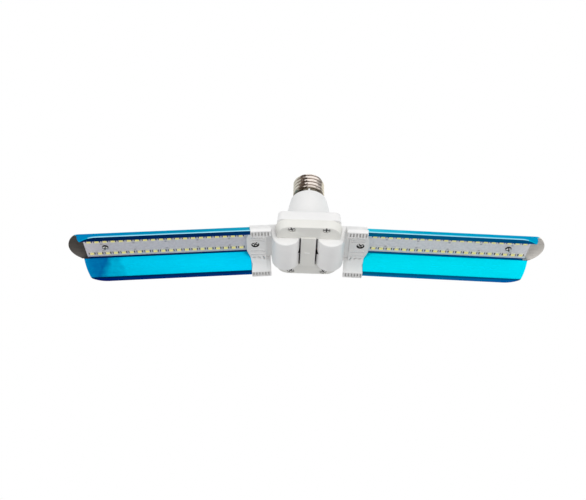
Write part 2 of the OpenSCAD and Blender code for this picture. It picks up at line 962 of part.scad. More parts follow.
// From the drum's window round the pin's tube to the LED board
module arm_leads() {
    way = (pin_r + drum_r) / 2;
    for (s = [-1, 1]) {
        y = s * (lead_r + lead_gap);
        color(s < 0 ? red : cream)
            wire([
                [lead_gap - drum_r, y, 0],
                [-way, y, 1],
                [-way / 2, y, way - lead_r],
                [way / 2, y, way + lead_gap],
                [cap_start, y, led_face - lead_r - snug],
                [board_start + 3, y, led_face - lead_r - snug]
            ], lead_r);
    }
}

// ---- nodes ----

screw_shell();
cap_insulator();
centre_contact();
shell_rivet();
upper_housing();
hinge_cover();
cover_screws();
driver_board();
bulk_capacitor();
choke();
bridge_rectifier();
driver_chip();
film_capacitor();
fuse_resistor();
cap_leads();
supply_leads();
hinge_pin(-1);  // left_hinge_pin
hinge_pin(1);  // right_hinge_pin
arm(-1) washers();  // left_washers
arm(-1) knuckle();  // left_knuckle
arm(-1) end_cover();  // left_end_cover
arm(-1) cover_screw();  // left_cover_screw
arm(-1) heat_sink();  // left_heat_sink
arm(-1) led_board();  // left_led_board
arm(-1) leds();  // left_leds
arm(-1) resistors();  // left_resistors
arm(-1) board_screw();  // left_board_screw
arm(-1) arm_leads();  // left_arm_leads
arm(1) washers();  // right_washers
arm(1) knuckle();  // right_knuckle
arm(1) end_cover();  // right_end_cover
arm(1) cover_screw();  // right_cover_screw
arm(1) heat_sink();  // right_heat_sink
arm(1) led_board();  // right_led_board
arm(1) leds();  // right_leds
arm(1) resistors();  // right_resistors
arm(1) board_screw();  // right_board_screw
arm(1) arm_leads();  // right_arm_leads
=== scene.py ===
import json
from math import asin, atan2, cos, hypot, pi, radians, sin

import bmesh
import bpy
from mathutils import Matrix, Vector


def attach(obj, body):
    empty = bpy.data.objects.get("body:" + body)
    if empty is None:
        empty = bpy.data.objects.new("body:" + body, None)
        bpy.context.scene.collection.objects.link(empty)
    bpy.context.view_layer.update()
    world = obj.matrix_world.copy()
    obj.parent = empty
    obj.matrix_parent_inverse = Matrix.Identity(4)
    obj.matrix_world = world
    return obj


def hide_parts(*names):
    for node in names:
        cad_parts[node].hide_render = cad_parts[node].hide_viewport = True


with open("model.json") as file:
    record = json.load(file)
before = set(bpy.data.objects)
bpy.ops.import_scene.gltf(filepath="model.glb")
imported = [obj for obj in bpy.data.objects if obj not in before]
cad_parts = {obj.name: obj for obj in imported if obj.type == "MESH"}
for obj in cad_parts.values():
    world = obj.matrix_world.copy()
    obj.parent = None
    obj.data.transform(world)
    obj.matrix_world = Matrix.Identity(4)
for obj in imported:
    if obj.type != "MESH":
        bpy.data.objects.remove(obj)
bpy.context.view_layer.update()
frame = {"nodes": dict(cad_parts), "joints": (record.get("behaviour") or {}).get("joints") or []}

# ---- Studio ----
# The lamp hangs as in its holder and is seen from the front and below. White paper all round, a pale
# floor well under it, a soft lamp in front on the right, and two weak ones that lift the undersides.
# Mirrors see brighter paper than the camera does, and none of the lamps.
mm = 0.001
view_up, view_roll = radians(39.215), radians(1.767)
lens_length, film_width = 42.1, 36
camera_place = (-0.01177, -0.41759, -0.39330)
floor_size, floor_height, mottle_size = 2.0, -0.62, 1000 / 3

camera = bpy.data.objects.new("camera", bpy.data.cameras.new("camera"))
bpy.context.collection.objects.link(camera)
camera.data.lens = lens_length
camera.data.sensor_width = film_width
camera.matrix_world = (Matrix.Translation(camera_place)
                       @ Matrix.Rotation(pi / 2 + view_up, 4, "X") @ Matrix.Rotation(view_roll, 4, "Z"))
bpy.context.scene.camera = camera
bpy.context.scene.view_settings.view_transform = "Standard"


def hang_lamp(name, place, aim, size, power):
    """A soft square lamp that points from its place to another one."""
    lamp = bpy.data.objects.new(name, bpy.data.lights.new(name, "AREA"))
    bpy.context.collection.objects.link(lamp)
    lamp.location = place
    lamp.rotation_euler = (Vector(aim) - Vector(place)).to_track_quat("-Z", "Y").to_euler()
    lamp.data.size = size
    lamp.data.energy = power
    lamp.visible_glossy = False


hang_lamp("key_lamp", place=(0.7, -1.6, -0.12), aim=(0, 0, -0.04), size=1.0, power=12.4)
hang_lamp("under_lamp", place=(0.08, -0.32, -0.60), aim=(0, 0, -0.05), size=0.6, power=1.35)
hang_lamp("side_lamp", place=(-1.1, -0.7, -0.32), aim=(-0.03, 0, -0.03), size=0.8, power=3.6)


def node_in(owner, kind, feeds=None, **settings):
    """A node in a finish or world, with its settings, and the values or sockets that feed its inputs."""
    node = owner.node_tree.nodes.new(kind)
    for name, value in settings.items():
        setattr(node, name, value)
    for name, value in (feeds or {}).items():
        if isinstance(value, bpy.types.NodeSocket):
            owner.node_tree.links.new(value, node.inputs[name])
        else:
            node.inputs[name].default_value = value
    return node


paper = bpy.data.worlds.new("white_paper")
paper.use_nodes = True
paper.node_tree.nodes.clear()
bpy.context.scene.world = paper
ray = node_in(paper, "ShaderNodeLightPath").outputs
room_light, mirrored, backdrop = [
    node_in(paper, "ShaderNodeBackground", {"Color": colour, "Strength": strength}).outputs[0]
    for colour, strength in (((0.97, 0.98, 1, 1), 0.505), ((1, 1, 1, 1), 1.22), ((1, 1, 1, 1), 1.0))]
light = room_light
for path, seen in (("Is Glossy Ray", mirrored), ("Is Transmission Ray", backdrop),
                   ("Is Camera Ray", backdrop)):
    light = node_in(paper, "ShaderNodeMixShader", {0: ray[path], 1: light, 2: seen}).outputs[0]
node_in(paper, "ShaderNodeOutputWorld", {"Surface": light})


def start_finish(name, colour, metal, roughness):
    """A new finish with its even colour, metal and roughness."""
    finish = bpy.data.materials.new(name)
    finish.use_nodes = True
    shader = finish.node_tree.nodes["Principled BSDF"]
    shader.inputs["Base Color"].default_value = (*colour, 1)
    shader.inputs["Metallic"].default_value = metal
    shader.inputs["Roughness"].default_value = roughness
    return finish


def place_on(finish, kind="POINT", **mapping):
    """Object coordinates, stretched, moved or turned by a mapping."""
    where = node_in(finish, "ShaderNodeTexCoord").outputs["Object"]
    feeds = {name.capitalize(): value for name, value in mapping.items()}
    return node_in(finish, "ShaderNodeMapping", {"Vector": where, **feeds}, vector_type=kind).outputs[0]


def grain(finish, where, size_mm, detail=3.0):
    """Random grain of about this size."""
    return node_in(finish, "ShaderNodeTexNoise",
                   {"Vector": where, "Scale": 1000 / size_mm, "Detail": detail}).outputs["Fac"]


def shade(finish, value, *stops):
    """A colour for each value, from stops of place and colour."""
    node = node_in(finish, "ShaderNodeValToRGB", {"Fac": value})
    ramp = node.color_ramp
    while len(ramp.elements) < len(stops):
        ramp.elements.new(1)
    for element, (place, colour) in zip(ramp.elements, stops):
        element.position = place
        element.color = (*colour, 1)
    return node.outputs["Color"]


def feed(finish, **sockets):
    """Leads detail to the shader: colour, roughness, or a relief as a height and its depth in mm."""
    shader = finish.node_tree.nodes["Principled BSDF"]
    for name, value in sockets.items():
        if name == "relief":
            height, depth = value
            value = node_in(finish, "ShaderNodeBump",
                            {"Height": height, "Distance": depth * mm, "Strength": 1.0}).outputs[0]
        target = {"colour": "Base Color", "roughness": "Roughness", "relief": "Normal"}[name]
        finish.node_tree.links.new(value, shader.inputs[target])


bpy.ops.object.select_all(action="DESELECT")
bpy.ops.mesh.primitive_plane_add(size=floor_size, location=(0, 0, floor_height))
floor = bpy.context.object
floor.name = "floor"
floor_paint = start_finish("floor_paint", (0.8, 0.8, 0.8), 0.0, 0.85)
mottle = grain(floor_paint, place_on(floor_paint), mottle_size, 2)
feed(floor_paint, colour=shade(floor_paint, mottle, (0, (0.78, 0.78, 0.78)), (1, (0.82, 0.82, 0.82))))
floor.data.materials.append(floor_paint)


# ---- Screw shell ----
# The E27 thread is rolled into a thin nickel-plated shell, a plain skirt below and a drawn-in shoulder
# above, pressed over the cone's collar. The dark bands down its sides and round its foot aren't on the
# real plate: they stand for the dark things that it mirrors in the photo.
def leave_all():
    """Ends edit mode and lets go of every object."""
    if bpy.context.mode != "OBJECT":
        bpy.ops.object.mode_set(mode="OBJECT")
    bpy.ops.object.select_all(action="DESELECT")


def take(piece, *others):
    """Holds one piece, and others with it."""
    leave_all()
    for each in (*others, piece):
        each.select_set(True)
    bpy.context.view_layer.objects.active = piece


def pick(kind, test):
    """Selects the points, edges or faces of the piece in edit mode that pass a test of their place."""
    bpy.ops.mesh.select_all(action="DESELECT")
    bpy.ops.mesh.select_mode(type=kind)
    shape = bmesh.from_edit_mesh(bpy.context.edit_object.data)
    if kind == "VERT":
        found = [point for point in shape.verts if test(point.co)]
    elif kind == "EDGE":
        found = [edge for edge in shape.edges if test(edge.verts[0].co, edge.verts[1].co)]
    else:
        found = [face for face in shape.faces if test(face.calc_center_median(), face.normal)]
    if not found:
        raise ValueError("nothing to pick on " + bpy.context.edit_object.name)
    for part in found:
        part.select_set(True)
    bmesh.update_edit_mesh(bpy.context.edit_object.data)


def work_on(piece, kind="FACE", test=lambda *place: True):
    """Opens a piece in edit mode with all of it or some of it picked."""
    take(piece)
    bpy.ops.object.mode_set(mode="EDIT")
    pick(kind, test)


def pick_all():
    bpy.ops.mesh.select_all(action="SELECT")


def pull(x, y, z):
    """Draws what is picked out of the piece."""
    bpy.ops.mesh.extrude_region_move(TRANSFORM_OT_translate={"value": (x, y, z)})


def trace(name, points):
    """A new piece that is a line, drawn from point to point."""
    leave_all()
    bpy.ops.mesh.primitive_plane_add(size=mm)
    piece = bpy.context.object
    piece.name = piece.data.name = name
    bpy.ops.object.mode_set(mode="EDIT")
    bpy.ops.mesh.select_mode(type="VERT")
    bpy.ops.mesh.merge(type="CENTER")
    bpy.ops.transform.translate(value=points[0])
    for here, there in zip(points, points[1:]):
        pull(*(Vector(there) - Vector(here)))
    return piece


def merge_and_face_out():
    pick_all()
    bpy.ops.mesh.remove_doubles(threshold=0.001 * mm)
    bpy.ops.mesh.normals_make_consistent(inside=False)


def split(place, way, **settings):
    """Cuts the whole piece in edit mode by a plane through a place in mm that faces one way."""
    pick_all()
    bpy.ops.mesh.bisect(plane_co=Vector(place) * mm, plane_no=way, **settings)


def turn_on_lathe(name, profile, steps=96):
    """A round solid about the cap's axis, from its outline as pairs of radius and height in mm."""
    piece = trace(name, [(radius * mm, 0, height * mm) for radius, height in profile])
    pick_all()
    bpy.ops.mesh.spin(steps=steps, angle=2 * pi, center=(0, 0, 0), axis=(0, 0, 1))
    merge_and_face_out()
    leave_all()
    return piece


def apply_change(piece, kind, **settings):
    """Adds a modifier with its settings and applies it."""
    take(piece)
    change = piece.modifiers.new("change", kind)
    for name, value in settings.items():
        setattr(change, name, value)
    bpy.ops.object.modifier_apply(modifier=change.name)


def rescale(finish, value, low, high, start=0.3, end=0.7):
    return node_in(finish, "ShaderNodeMapRange",
                   {"Value": value, "From Min": start, "From Max": end,
                    "To Min": low, "To Max": high}).outputs[0]


def calculate(finish, operation, *values):
    return node_in(finish, "ShaderNodeMath", dict(enumerate(values)), operation=operation).outputs[0]


def blend(finish, share, first, second, how="MIX"):
    """A share of the second colour over the first."""
    return node_in(finish, "ShaderNodeMix", {0: share, 6: first, 7: second}, data_type="RGBA",
                   blend_type=how).outputs[2]


def hand_over(piece, body, slot, finish, *replaced):
    """Smooths a finished piece, gives it its finish, and says what it rides on and stands for."""
    take(piece)
    bpy.ops.object.shade_smooth_by_angle(angle=radians(32))
    if not piece.data.materials:
        piece.data.materials.append(finish)
    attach(piece, body)
    if replaced:
        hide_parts(*replaced)


thread_crest, thread_root = 13.1, 12.2
thread_pitch, thread_turns, thread_parts = 3.63, 4, 12
skirt_height, shell_wall, cone_lip = 5.0, 0.4, -0.9
thread_top = skirt_height + thread_turns * thread_pitch
shell_height, mouth_radius = 22.52, 7.5


def thread_radius(height):
    wave = (1 + cos(2 * pi * (height - skirt_height) / thread_pitch)) / 2
    return thread_crest - (thread_crest - thread_root) * wave


def ring_to(radius, height):
    """Draws the picked ring on to a true circle of a radius and height in mm."""
    bpy.ops.mesh.extrude_region_move()
    shape = bmesh.from_edit_mesh(bpy.context.edit_object.data)
    for point in shape.verts:
        if point.select:
            flat = point.co.xy.normalized() * radius * mm
            point.co = (flat.x, flat.y, height * mm)
    bmesh.update_edit_mesh(bpy.context.edit_object.data)


rows = range(-thread_parts, thread_turns * thread_parts + 1)
heights = [skirt_height + row * thread_pitch / thread_parts for row in rows]
shell = trace("thread_shell", [(thread_radius(height) * mm, 0, height * mm) for height in heights])
leave_all()
apply_change(shell, "SCREW", axis="Z", angle=2 * pi, screw_offset=thread_pitch * mm, steps=96,
             render_steps=96, iterations=1, use_merge_vertices=True, merge_threshold=0.001 * mm)
work_on(shell, "VERT")
merge_and_face_out()
nick = 0.02
split((0, 0, skirt_height + nick), (0, 0, 1), clear_inner=True)
for radius, height in ((12.35, 4.5), (12.2, 4.0), (12.2, cone_lip + 0.5), (12.4, cone_lip + 0.25),
                       (12.4, cone_lip)):
    ring_to(radius, height)
split((0, 0, thread_top - nick), (0, 0, 1), clear_outer=True)
for radius, height in ((12.2, 20.0), (11.9, 20.7), (11.0, 21.4), (9.6, 21.95), (mouth_radius, shell_height)):
    ring_to(radius, height)
merge_and_face_out()
apply_change(shell, "SOLIDIFY", thickness=shell_wall * mm, offset=-1)

nickel = start_finish("nickel_plate", (0.70, 0.66, 0.62), 1.0, 0.2)
where = place_on(nickel)
axes = node_in(nickel, "ShaderNodeSeparateXYZ", {"Vector": where}).outputs
around = calculate(nickel, "ARCTAN2", axes["Y"], axes["X"])
climb = calculate(nickel, "MULTIPLY", around, -thread_pitch * mm / (2 * pi))
along = calculate(nickel, "ADD", axes["Z"], climb)
turns = calculate(nickel, "MULTIPLY", along, 1 / (thread_pitch * mm))
from_start = calculate(nickel, "ADD", turns, 1 - skirt_height / thread_pitch % 1)
groove = calculate(nickel, "FRACT", from_start)
# Painted shade: the thread is dark in its roots and light on its crests.
groove_wobble = calculate(nickel, "MULTIPLY", grain(nickel, where, 3.2, 4), 0.16)
groove_shade = shade(nickel, calculate(nickel, "ADD", groove, groove_wobble),
             (0.0, (0.16, 0.12, 0.10)), (0.16, (0.26, 0.21, 0.18)), (0.30, (0.76, 0.71, 0.67)),
             (0.68, (0.86, 0.80, 0.76)), (0.88, (0.60, 0.53, 0.48)), (1.0, (0.16, 0.12, 0.10)))
# Painted reflection: dark and bright bands by the angle round the axis, slanted with the thread.
slanted = calculate(nickel, "MULTIPLY_ADD", groove, 0.5, around)
ragged = calculate(nickel, "MULTIPLY_ADD", grain(nickel, where, 1.7, 4), 0.9, slanted)
band_shift = 0.70
mirrored_bands = shade(nickel, rescale(nickel, ragged, 0, 1, band_shift - pi, band_shift + pi),
                (0.0, (0.50, 0.52, 0.47)), (0.105, (0.62, 0.63, 0.58)), (0.135, (0.20, 0.16, 0.13)),
                (0.185, (0.06, 0.04, 0.03)), (0.212, (1.0, 0.97, 0.94)), (0.315, (1.0, 0.96, 0.93)),
                (0.345, (0.42, 0.40, 0.38)), (0.375, (0.20, 0.19, 0.18)), (0.41, (0.70, 0.69, 0.60)),
                (0.50, (0.90, 0.88, 0.72)), (1.0, (0.50, 0.52, 0.47)))
# Painted reflection: darker towards the foot of the skirt.
foot_shade_height = 0.02
mirrored_foot_shade = shade(nickel, rescale(nickel, axes["Z"], 0, 1, 0, foot_shade_height), (0.0, (0.10, 0.10, 0.08)),
                  (0.15, (0.20, 0.20, 0.17)), (0.24, (0.45, 0.43, 0.38)), (0.30, (1, 1, 1)))
shade_and_bands = blend(nickel, 1.0, groove_shade, mirrored_bands, "MULTIPLY")
feed(nickel,
     colour=blend(nickel, 1.0, shade_and_bands, mirrored_foot_shade, "MULTIPLY"),
     roughness=rescale(nickel, grain(nickel, where, 1.1), 0.14, 0.34),
     relief=(grain(nickel, place_on(nickel, scale=(1, 1, 9)), 2.5), 0.03))
hand_over(shell, "hub", "nickel", nickel, "screw_shell")

# ---- Tip of the cap ----
# Black glass keeps the tip contact off the shell. The contact is a tinned brass button with the solder
# of the wire end on it, and it sits in the glass. The small dot low on the shell is solder or a crimp.
def grained_finish(name, colour, metal, roughness, tones, gloss, relief, spread=(0.3, 0.7),
                   stretch=(1, 1, 1), details=(3, 3)):
    """A finish in three grains, each given by its size in mm and what it carries: two shades, two
    roughnesses, and a relief with its depth in mm."""
    finish = start_finish(name, colour, metal, roughness)
    where = place_on(finish, scale=stretch)
    feed(finish,
         colour=shade(finish, grain(finish, where, tones[0], details[0]), *zip(spread, tones[1:])),
         roughness=rescale(finish, grain(finish, where, gloss[0]), *gloss[1:]),
         relief=(grain(finish, where, relief[0], details[1]), relief[1]))
    return finish


def settle(name):
    """Names the piece that was just added, and sets its place, turn and size into its mesh."""
    piece = bpy.context.object
    piece.name = piece.data.name = name
    bpy.ops.object.transform_apply(location=True, rotation=True, scale=True)
    return piece


def round_off(piece, radius, steps, test):
    """Rounds the edges whose two ends pass a test."""
    work_on(piece, "EDGE", test)
    bpy.ops.mesh.bevel(offset=radius * mm, segments=steps, affect="EDGES")
    leave_all()


glass = turn_on_lathe("cap_glass", (
    (3.4, 20.32), (7.4, 20.32), (7.4, 22.3), (7.1, 22.75), (6.6, 23.4), (5.8, 24.7), (5.4, 25.05),
    (5.2, 25.12), (3.4, 25.12), (3.4, 20.32)))
black_glass = grained_finish("black_glass", (0.03, 0.03, 0.035), 0.0, 0.12,
                             (2.0, (0.02, 0.02, 0.025), (0.05, 0.048, 0.05)), (0.8, 0.08, 0.24), (1.6, 0.05))
hand_over(glass, "hub", "insulator", black_glass, "cap_insulator")

contact = turn_on_lathe("tip_contact", (
    (0, 24.12), (3.35, 24.12), (3.35, 25.12), (4.7, 25.12), (4.8, 25.3), (4.75, 25.6), (4.3, 25.9),
    (3.2, 26.05), (2.6, 26.1), (2.3, 26.3), (1.6, 26.46), (0.8, 26.52), (0, 26.52)))
tinned_brass = grained_finish("tinned_brass", (0.75, 0.66, 0.45), 1.0, 0.3,
                              (2.2, (0.78, 0.62, 0.34), (0.70, 0.69, 0.66)), (0.7, 0.2, 0.45), (0.9, 0.04),
                              spread=(0.35, 0.65))
hand_over(contact, "hub", "brass", tinned_brass, "centre_contact")

dot_angle, dot_reach, dot_height, dot_radius, dot_depth = radians(205), 12.48, 1.6, 0.8, 0.55
leave_all()
bpy.ops.mesh.primitive_cylinder_add(
    vertices=24, radius=dot_radius * mm, depth=dot_depth * mm, rotation=(pi / 2, 0, dot_angle + pi / 2),
    location=(dot_reach * mm * cos(dot_angle), dot_reach * mm * sin(dot_angle), dot_height * mm))
dot = settle("crimp_dot")
round_off(dot, 0.4, 4, lambda a, b: min(hypot(a.x, a.y), hypot(b.x, b.y)) > 12.5 * mm)
solder = grained_finish("solder", (0.3, 0.3, 0.29), 0.4, 0.5,
                        (0.8, (0.16, 0.15, 0.15), (0.30, 0.30, 0.29)), (0.5, 0.45, 0.65), (0.6, 0.05))
hand_over(dot, "hub", "steel", solder, "shell_rivet")

# ---- Upper housing ----
# One white moulding: the cone with its collar for the shell, and the slab over the hinges, drafted a
# little and round at its top edge. It is hollow for the driver and open below for the two drums.
hinge_z, hinge_x = -50.0, 17.5
slab_low, slab_high = hinge_z + 4, hinge_z + 13.5
hub_half, hub_depth, hub_corner = 26.0, 29.0, 10.0
slab_half, slab_corner = 24.7, 4.0
slab_top_half, slab_top_depth = 24.1, 28.4
wall, seam_round = 2.0, 0.22
drum_room_y, drum_room_top = 15.9, hinge_z + 11.5
block_half = 5.9
screw_places = [(x, y) for x in (-13.2, 13.2) for y in (-25.4, 25.4)]
pilot_radius = 1.5


def add_block(name, low, high):
    """A block between two opposite corners in mm."""
    leave_all()
    low, high = Vector(low) * mm, Vector(high) * mm
    bpy.ops.mesh.primitive_cube_add(size=1, location=(low + high) / 2)
    bpy.context.object.scale = high - low
    return settle(name)


def add_rod(name, radius, length, centre, along="Z", sides=96):
    """A rod along an axis, in mm."""
    leave_all()
    turn = {"X": (0, pi / 2, 0), "Y": (pi / 2, 0, 0), "Z": (0, 0, 0)}[along]
    bpy.ops.mesh.primitive_cylinder_add(vertices=sides, radius=radius * mm, depth=length * mm,
                                        location=Vector(centre) * mm, rotation=turn)
    return settle(name)


def combine(piece, tool, how):
    """Makes one solid of a piece and a tool, by adding, cutting out or keeping what both share."""
    apply_change(piece, "BOOLEAN", operation=how, object=tool, solver="EXACT")
    bpy.data.objects.remove(tool)


def join_with(piece, tool):
    combine(piece, tool, "UNION")


def cut_with(piece, tool):
    combine(piece, tool, "DIFFERENCE")


def near(value, target_mm, slack=0.02):
    return abs(value - target_mm * mm) < slack * mm


def at_height(height):
    """A test for the edges with both ends at a height in mm."""
    return lambda a, b: near(a.z, height) and near(b.z, height)


def upright(a, b):
    return hypot(a.x - b.x, a.y - b.y) < 0.01 * mm


def coat(piece, finish, test=None):
    """Gives a finish to a piece, or to those of its faces that pass a test."""
    piece.data.materials.append(finish)
    if test:
        work_on(piece, "FACE", test)
        piece.active_material_index = len(piece.data.materials) - 1
        bpy.ops.object.material_slot_assign()
        leave_all()


def plain_finish(name, dark, light, size_mm, roughness, depth, metal=0.0, stretch=(1, 1, 1)):
    """A finish whose three grains follow from the size of the coarsest."""
    return grained_finish(name, light, metal, roughness, (size_mm, dark, light),
                          (size_mm / 2, roughness - 0.08, roughness + 0.08), (size_mm / 3, depth),
                          stretch=stretch)


def rounded_slab(name, half_x, half_y, low, high, corner):
    """A slab with round upright corners."""
    slab = add_block(name, (-half_x, -half_y, low), (half_x, half_y, high))
    round_off(slab, corner, 14, upright)
    return slab


def draw_in(piece, test, across, deep):
    """Draws some faces in towards the middle, by a share each way."""
    work_on(piece, "FACE", test)
    bpy.ops.transform.resize(value=(across, deep, 1), center_override=(0, 0, 0))
    leave_all()


housing = rounded_slab("housing", slab_half, hub_depth, slab_low, slab_high, slab_corner)
draw_in(housing, lambda centre, normal: normal.z > 0.9, slab_top_half / slab_half, slab_top_depth / hub_depth)
round_off(housing, 1.5, 5, at_height(slab_high))
round_off(housing, seam_round, 1, at_height(slab_low))

cone_height, cone_foot, cone_top, cone_bulge = 36.5, 19.5, 14.8, 0.85
foot_round, rim_round, collar_radius, collar_height = 2.0, 0.8, 11.7, 4.6
bead, chamfer = 0.15, 0.4
nib_half, nib_front, nib_back, nib_top = 0.75, -13.5, -12.45, 2.5


def cone_radius(height):
    """The cone's radius at a height above the slab."""
    share = height / cone_height
    return cone_foot + (cone_top - cone_foot) * share + cone_bulge * 4 * share * (1 - share)


foot_radius = cone_radius(foot_round) + foot_round
side = [(0, slab_high - 1), (foot_radius, slab_high - 1)]
side += [(foot_radius - foot_round * sin(step * pi / 16), slab_high + foot_round * (1 - cos(step * pi / 16)))
         for step in range(8)]
side += [(cone_radius(height), slab_high + height)
         for height in [foot_round + step * (cone_height + cone_lip - foot_round - rim_round) / 16
                        for step in range(17)]]
side += [(cone_top + bead, cone_lip - 0.65), (cone_top + bead, cone_lip - 0.35), (cone_top, cone_lip - 0.1),
         (cone_top - 0.3, cone_lip)]
side += [(collar_radius, cone_lip), (collar_radius, collar_height - chamfer),
         (collar_radius - chamfer, collar_height), (0, collar_height)]
join_with(housing, turn_on_lathe("cone", side, 128))
nib = add_block("nib", (-nib_half, nib_front, -0.5), (nib_half, nib_back, nib_top))
round_off(nib, 0.45, 3, at_height(nib_top))
join_with(housing, nib)

bore = [(0, slab_high)]
bore += [(cone_radius(height) - wall, slab_high + height)
         for height in [step * (cone_height - wall) / 12 for step in range(13)]]
bore += [(collar_radius - wall, -wall), (collar_radius - wall, collar_height + 1), (0, collar_height + 1)]
cut_with(housing, turn_on_lathe("cone_bore", bore, 128))


def cut_drum_rooms(piece, low, high):
    """Opens both sides of the hub for the drums, between two heights."""
    for side in (-1, 1):
        inner, outer = sorted((side * block_half, side * (hub_half + 2)))
        cut_with(piece, add_block("drum_room", (inner, -drum_room_y, low), (outer, drum_room_y, high)))


cut_drum_rooms(housing, slab_low - 1, drum_room_top)
cut_with(housing, add_block("wire_shaft", (wall - block_half, -drum_room_y, slab_low - 1),
                            (block_half - wall, drum_room_y, slab_high + 1)))
for x, y in screw_places:
    cut_with(housing, add_rod("screw_hole", pilot_radius, 7, (x, y, slab_low + 2.5), sides=32))

white_plastic = grained_finish("white_plastic", (0.86, 0.86, 0.85), 0.0, 0.38,
                               (14, (0.83, 0.825, 0.815), (0.87, 0.86, 0.845)), (2.5, 0.32, 0.46),
                               (0.35, 0.006), details=(4, 2))
slot_shadow_black = plain_finish("black_foam", (0.010, 0.010, 0.010), (0.022, 0.021, 0.020), 0.5, 0.8, 0.05)
slot_shadow_black.node_tree.nodes["Principled BSDF"].inputs["Specular IOR Level"].default_value = 0.05
coat(housing, white_plastic)
# The housing's walls beside the block are painted black as shadow in the slots.
coat(housing, slot_shadow_black, lambda centre, normal: abs(normal.x) > 0.97 and near(abs(centre.x), block_half)
     and centre.z < drum_room_top * mm)
hand_over(housing, "hub", "white_plastic", white_plastic, "upper_housing")

# ---- Hinge cover ----
# The lower half of the hub, moulded in the same white: two bars across the drums' ends and the block
# between the drums. Four screws hold it up against the housing. The walls of the slots beside the block
# are painted black as shadow.
bar_low, block_low = hinge_z - 3.8, hinge_z - 4.8
block_end = drum_room_y + 1.1
bar_low_half, bar_low_depth = 24.2, 28.6
pin_seat_radius, pin_seat_length, pin_seat_y = 2.05, 2.5, drum_room_y + 1.2
wire_half, hole_radius = 2.2, 1.55
seat_radius, seat_top = 2.95, hinge_z - 1.5
mark_start, mark_end, mark_rise = (-2.6, 0.2), (1.4, 1.0), 0.5

cover = rounded_slab("cover", hub_half, hub_depth, bar_low, slab_low, hub_corner)
draw_in(cover, lambda centre, normal: normal.z < -0.9, bar_low_half / hub_half, bar_low_depth / hub_depth)
round_off(cover, 0.45, 3, at_height(bar_low))
round_off(cover, seam_round, 1, at_height(slab_low))
cut_drum_rooms(cover, bar_low - 1, slab_low + 1)
block = add_block("centre_block", (-block_half, -block_end, block_low),
                  (block_half, block_end, bar_low + wall))
low_edge = at_height(block_low)
round_off(block, 0.9, 4, lambda a, b: low_edge(a, b) and near(abs(a.x), block_half) and abs(a.x - b.x) < mm)
round_off(block, 0.3, 3, lambda a, b: low_edge(a, b) and near(abs(a.y), block_end)
          and near(abs(b.y), block_end) and abs(a.y - b.y) < mm)
join_with(cover, block)
cut_with(cover, add_block("wire_shaft", (wall - block_half, -drum_room_y, block_low + wall),
                          (block_half - wall, drum_room_y, slab_low + 1)))
cut_with(cover, add_block("wire_window", (-9, -wire_half, hinge_z - wire_half), (9, wire_half, slab_low + 1)))
for x in (-hinge_x, hinge_x):
    for y in (-pin_seat_y, pin_seat_y):
        cut_with(cover, add_rod("pin_seat", pin_seat_radius, pin_seat_length, (x, y, hinge_z), "Y", 48))
        cut_with(cover, add_block("pin_slot", (x - pin_seat_radius, y - pin_seat_length / 2, hinge_z),
                                  (x + pin_seat_radius, y + pin_seat_length / 2, slab_low + 1)))
for x, y in screw_places:
    cut_with(cover, add_rod("screw_seat", seat_radius, 4, (x, y, seat_top - 2), sides=48))
    cut_with(cover, add_rod("screw_hole", hole_radius, 9, (x, y, hinge_z), sides=32))


def on_seat_rim(point):
    """Whether a point lies on the lower edge of a screw's seat."""
    offsets = [hypot(point.x - x * mm, point.y - y * mm) - seat_radius * mm for x, y in screw_places]
    return near(point.z, bar_low) and min(abs(offset) for offset in offsets) < 0.05 * mm


round_off(cover, 0.18, 2, lambda a, b: on_seat_rim(a) and on_seat_rim(b))
join_with(cover, add_block("gate_mark", (*mark_start, block_low - mark_rise), (*mark_end, block_low + 0.3)))

# The flat faces are painted a darker, warmer white as shade; the block's round edges and the bar on it
# keep the lighter white as a painted highlight.
shaded_warm_plastic = grained_finish("warm_white_plastic", (0.83, 0.83, 0.81), 0.0, 0.4,
                              (12, (0.765, 0.755, 0.71), (0.80, 0.79, 0.745)), (2.5, 0.34, 0.48),
                              (0.35, 0.006), details=(4, 2))
coat(cover, shaded_warm_plastic)
coat(cover, white_plastic, lambda centre, normal: -0.97 < normal.z < -0.2 and centre.z < bar_low * mm
     and abs(centre.y) < (block_end + 0.1) * mm)
coat(cover, white_plastic, lambda centre, normal: centre.z < (block_low - 0.1) * mm)
# The block's sides are painted black as shadow in the slots.
coat(cover, slot_shadow_black, lambda centre, normal: abs(normal.x) > 0.97 and near(abs(centre.x), block_half)
     and centre.z > (block_low + 0.85) * mm)
hand_over(cover, "hub", "white_plastic", shaded_warm_plastic, "hinge_cover")

# ---- Screws ----
# Zinc-plated pan heads with a cross recess: four hold the cover, one holds each end cover and one
# each LED board. Each is turned with a shank of its own length. Recess and rim are painted dark as shade.
head_radius, head_height, shank_radius = 2.7, 1.6, 1.45

zinc = grained_finish("zinc_plate", (0.9, 0.9, 0.88), 0.5, 0.3,
                      (1.2, (0.78, 0.77, 0.75), (0.97, 0.96, 0.94)), (0.5, 0.22, 0.42), (0.4, 0.02),
                      spread=(0.35, 0.6))
recess_steel = grained_finish("recess_steel", (0.04, 0.04, 0.04), 0.5, 0.5,
                              (0.6, (0.015, 0.014, 0.013), (0.06, 0.055, 0.05)), (0.4, 0.4, 0.6),
                              (0.3, 0.02))


def turn_by(piece, angle, axis, about=(0, 0, 0)):
    """Turns a piece's mesh about an axis through a place in mm."""
    work_on(piece)
    bpy.ops.transform.rotate(value=angle, orient_axis=axis, center_override=Vector(about) * mm)
    leave_all()


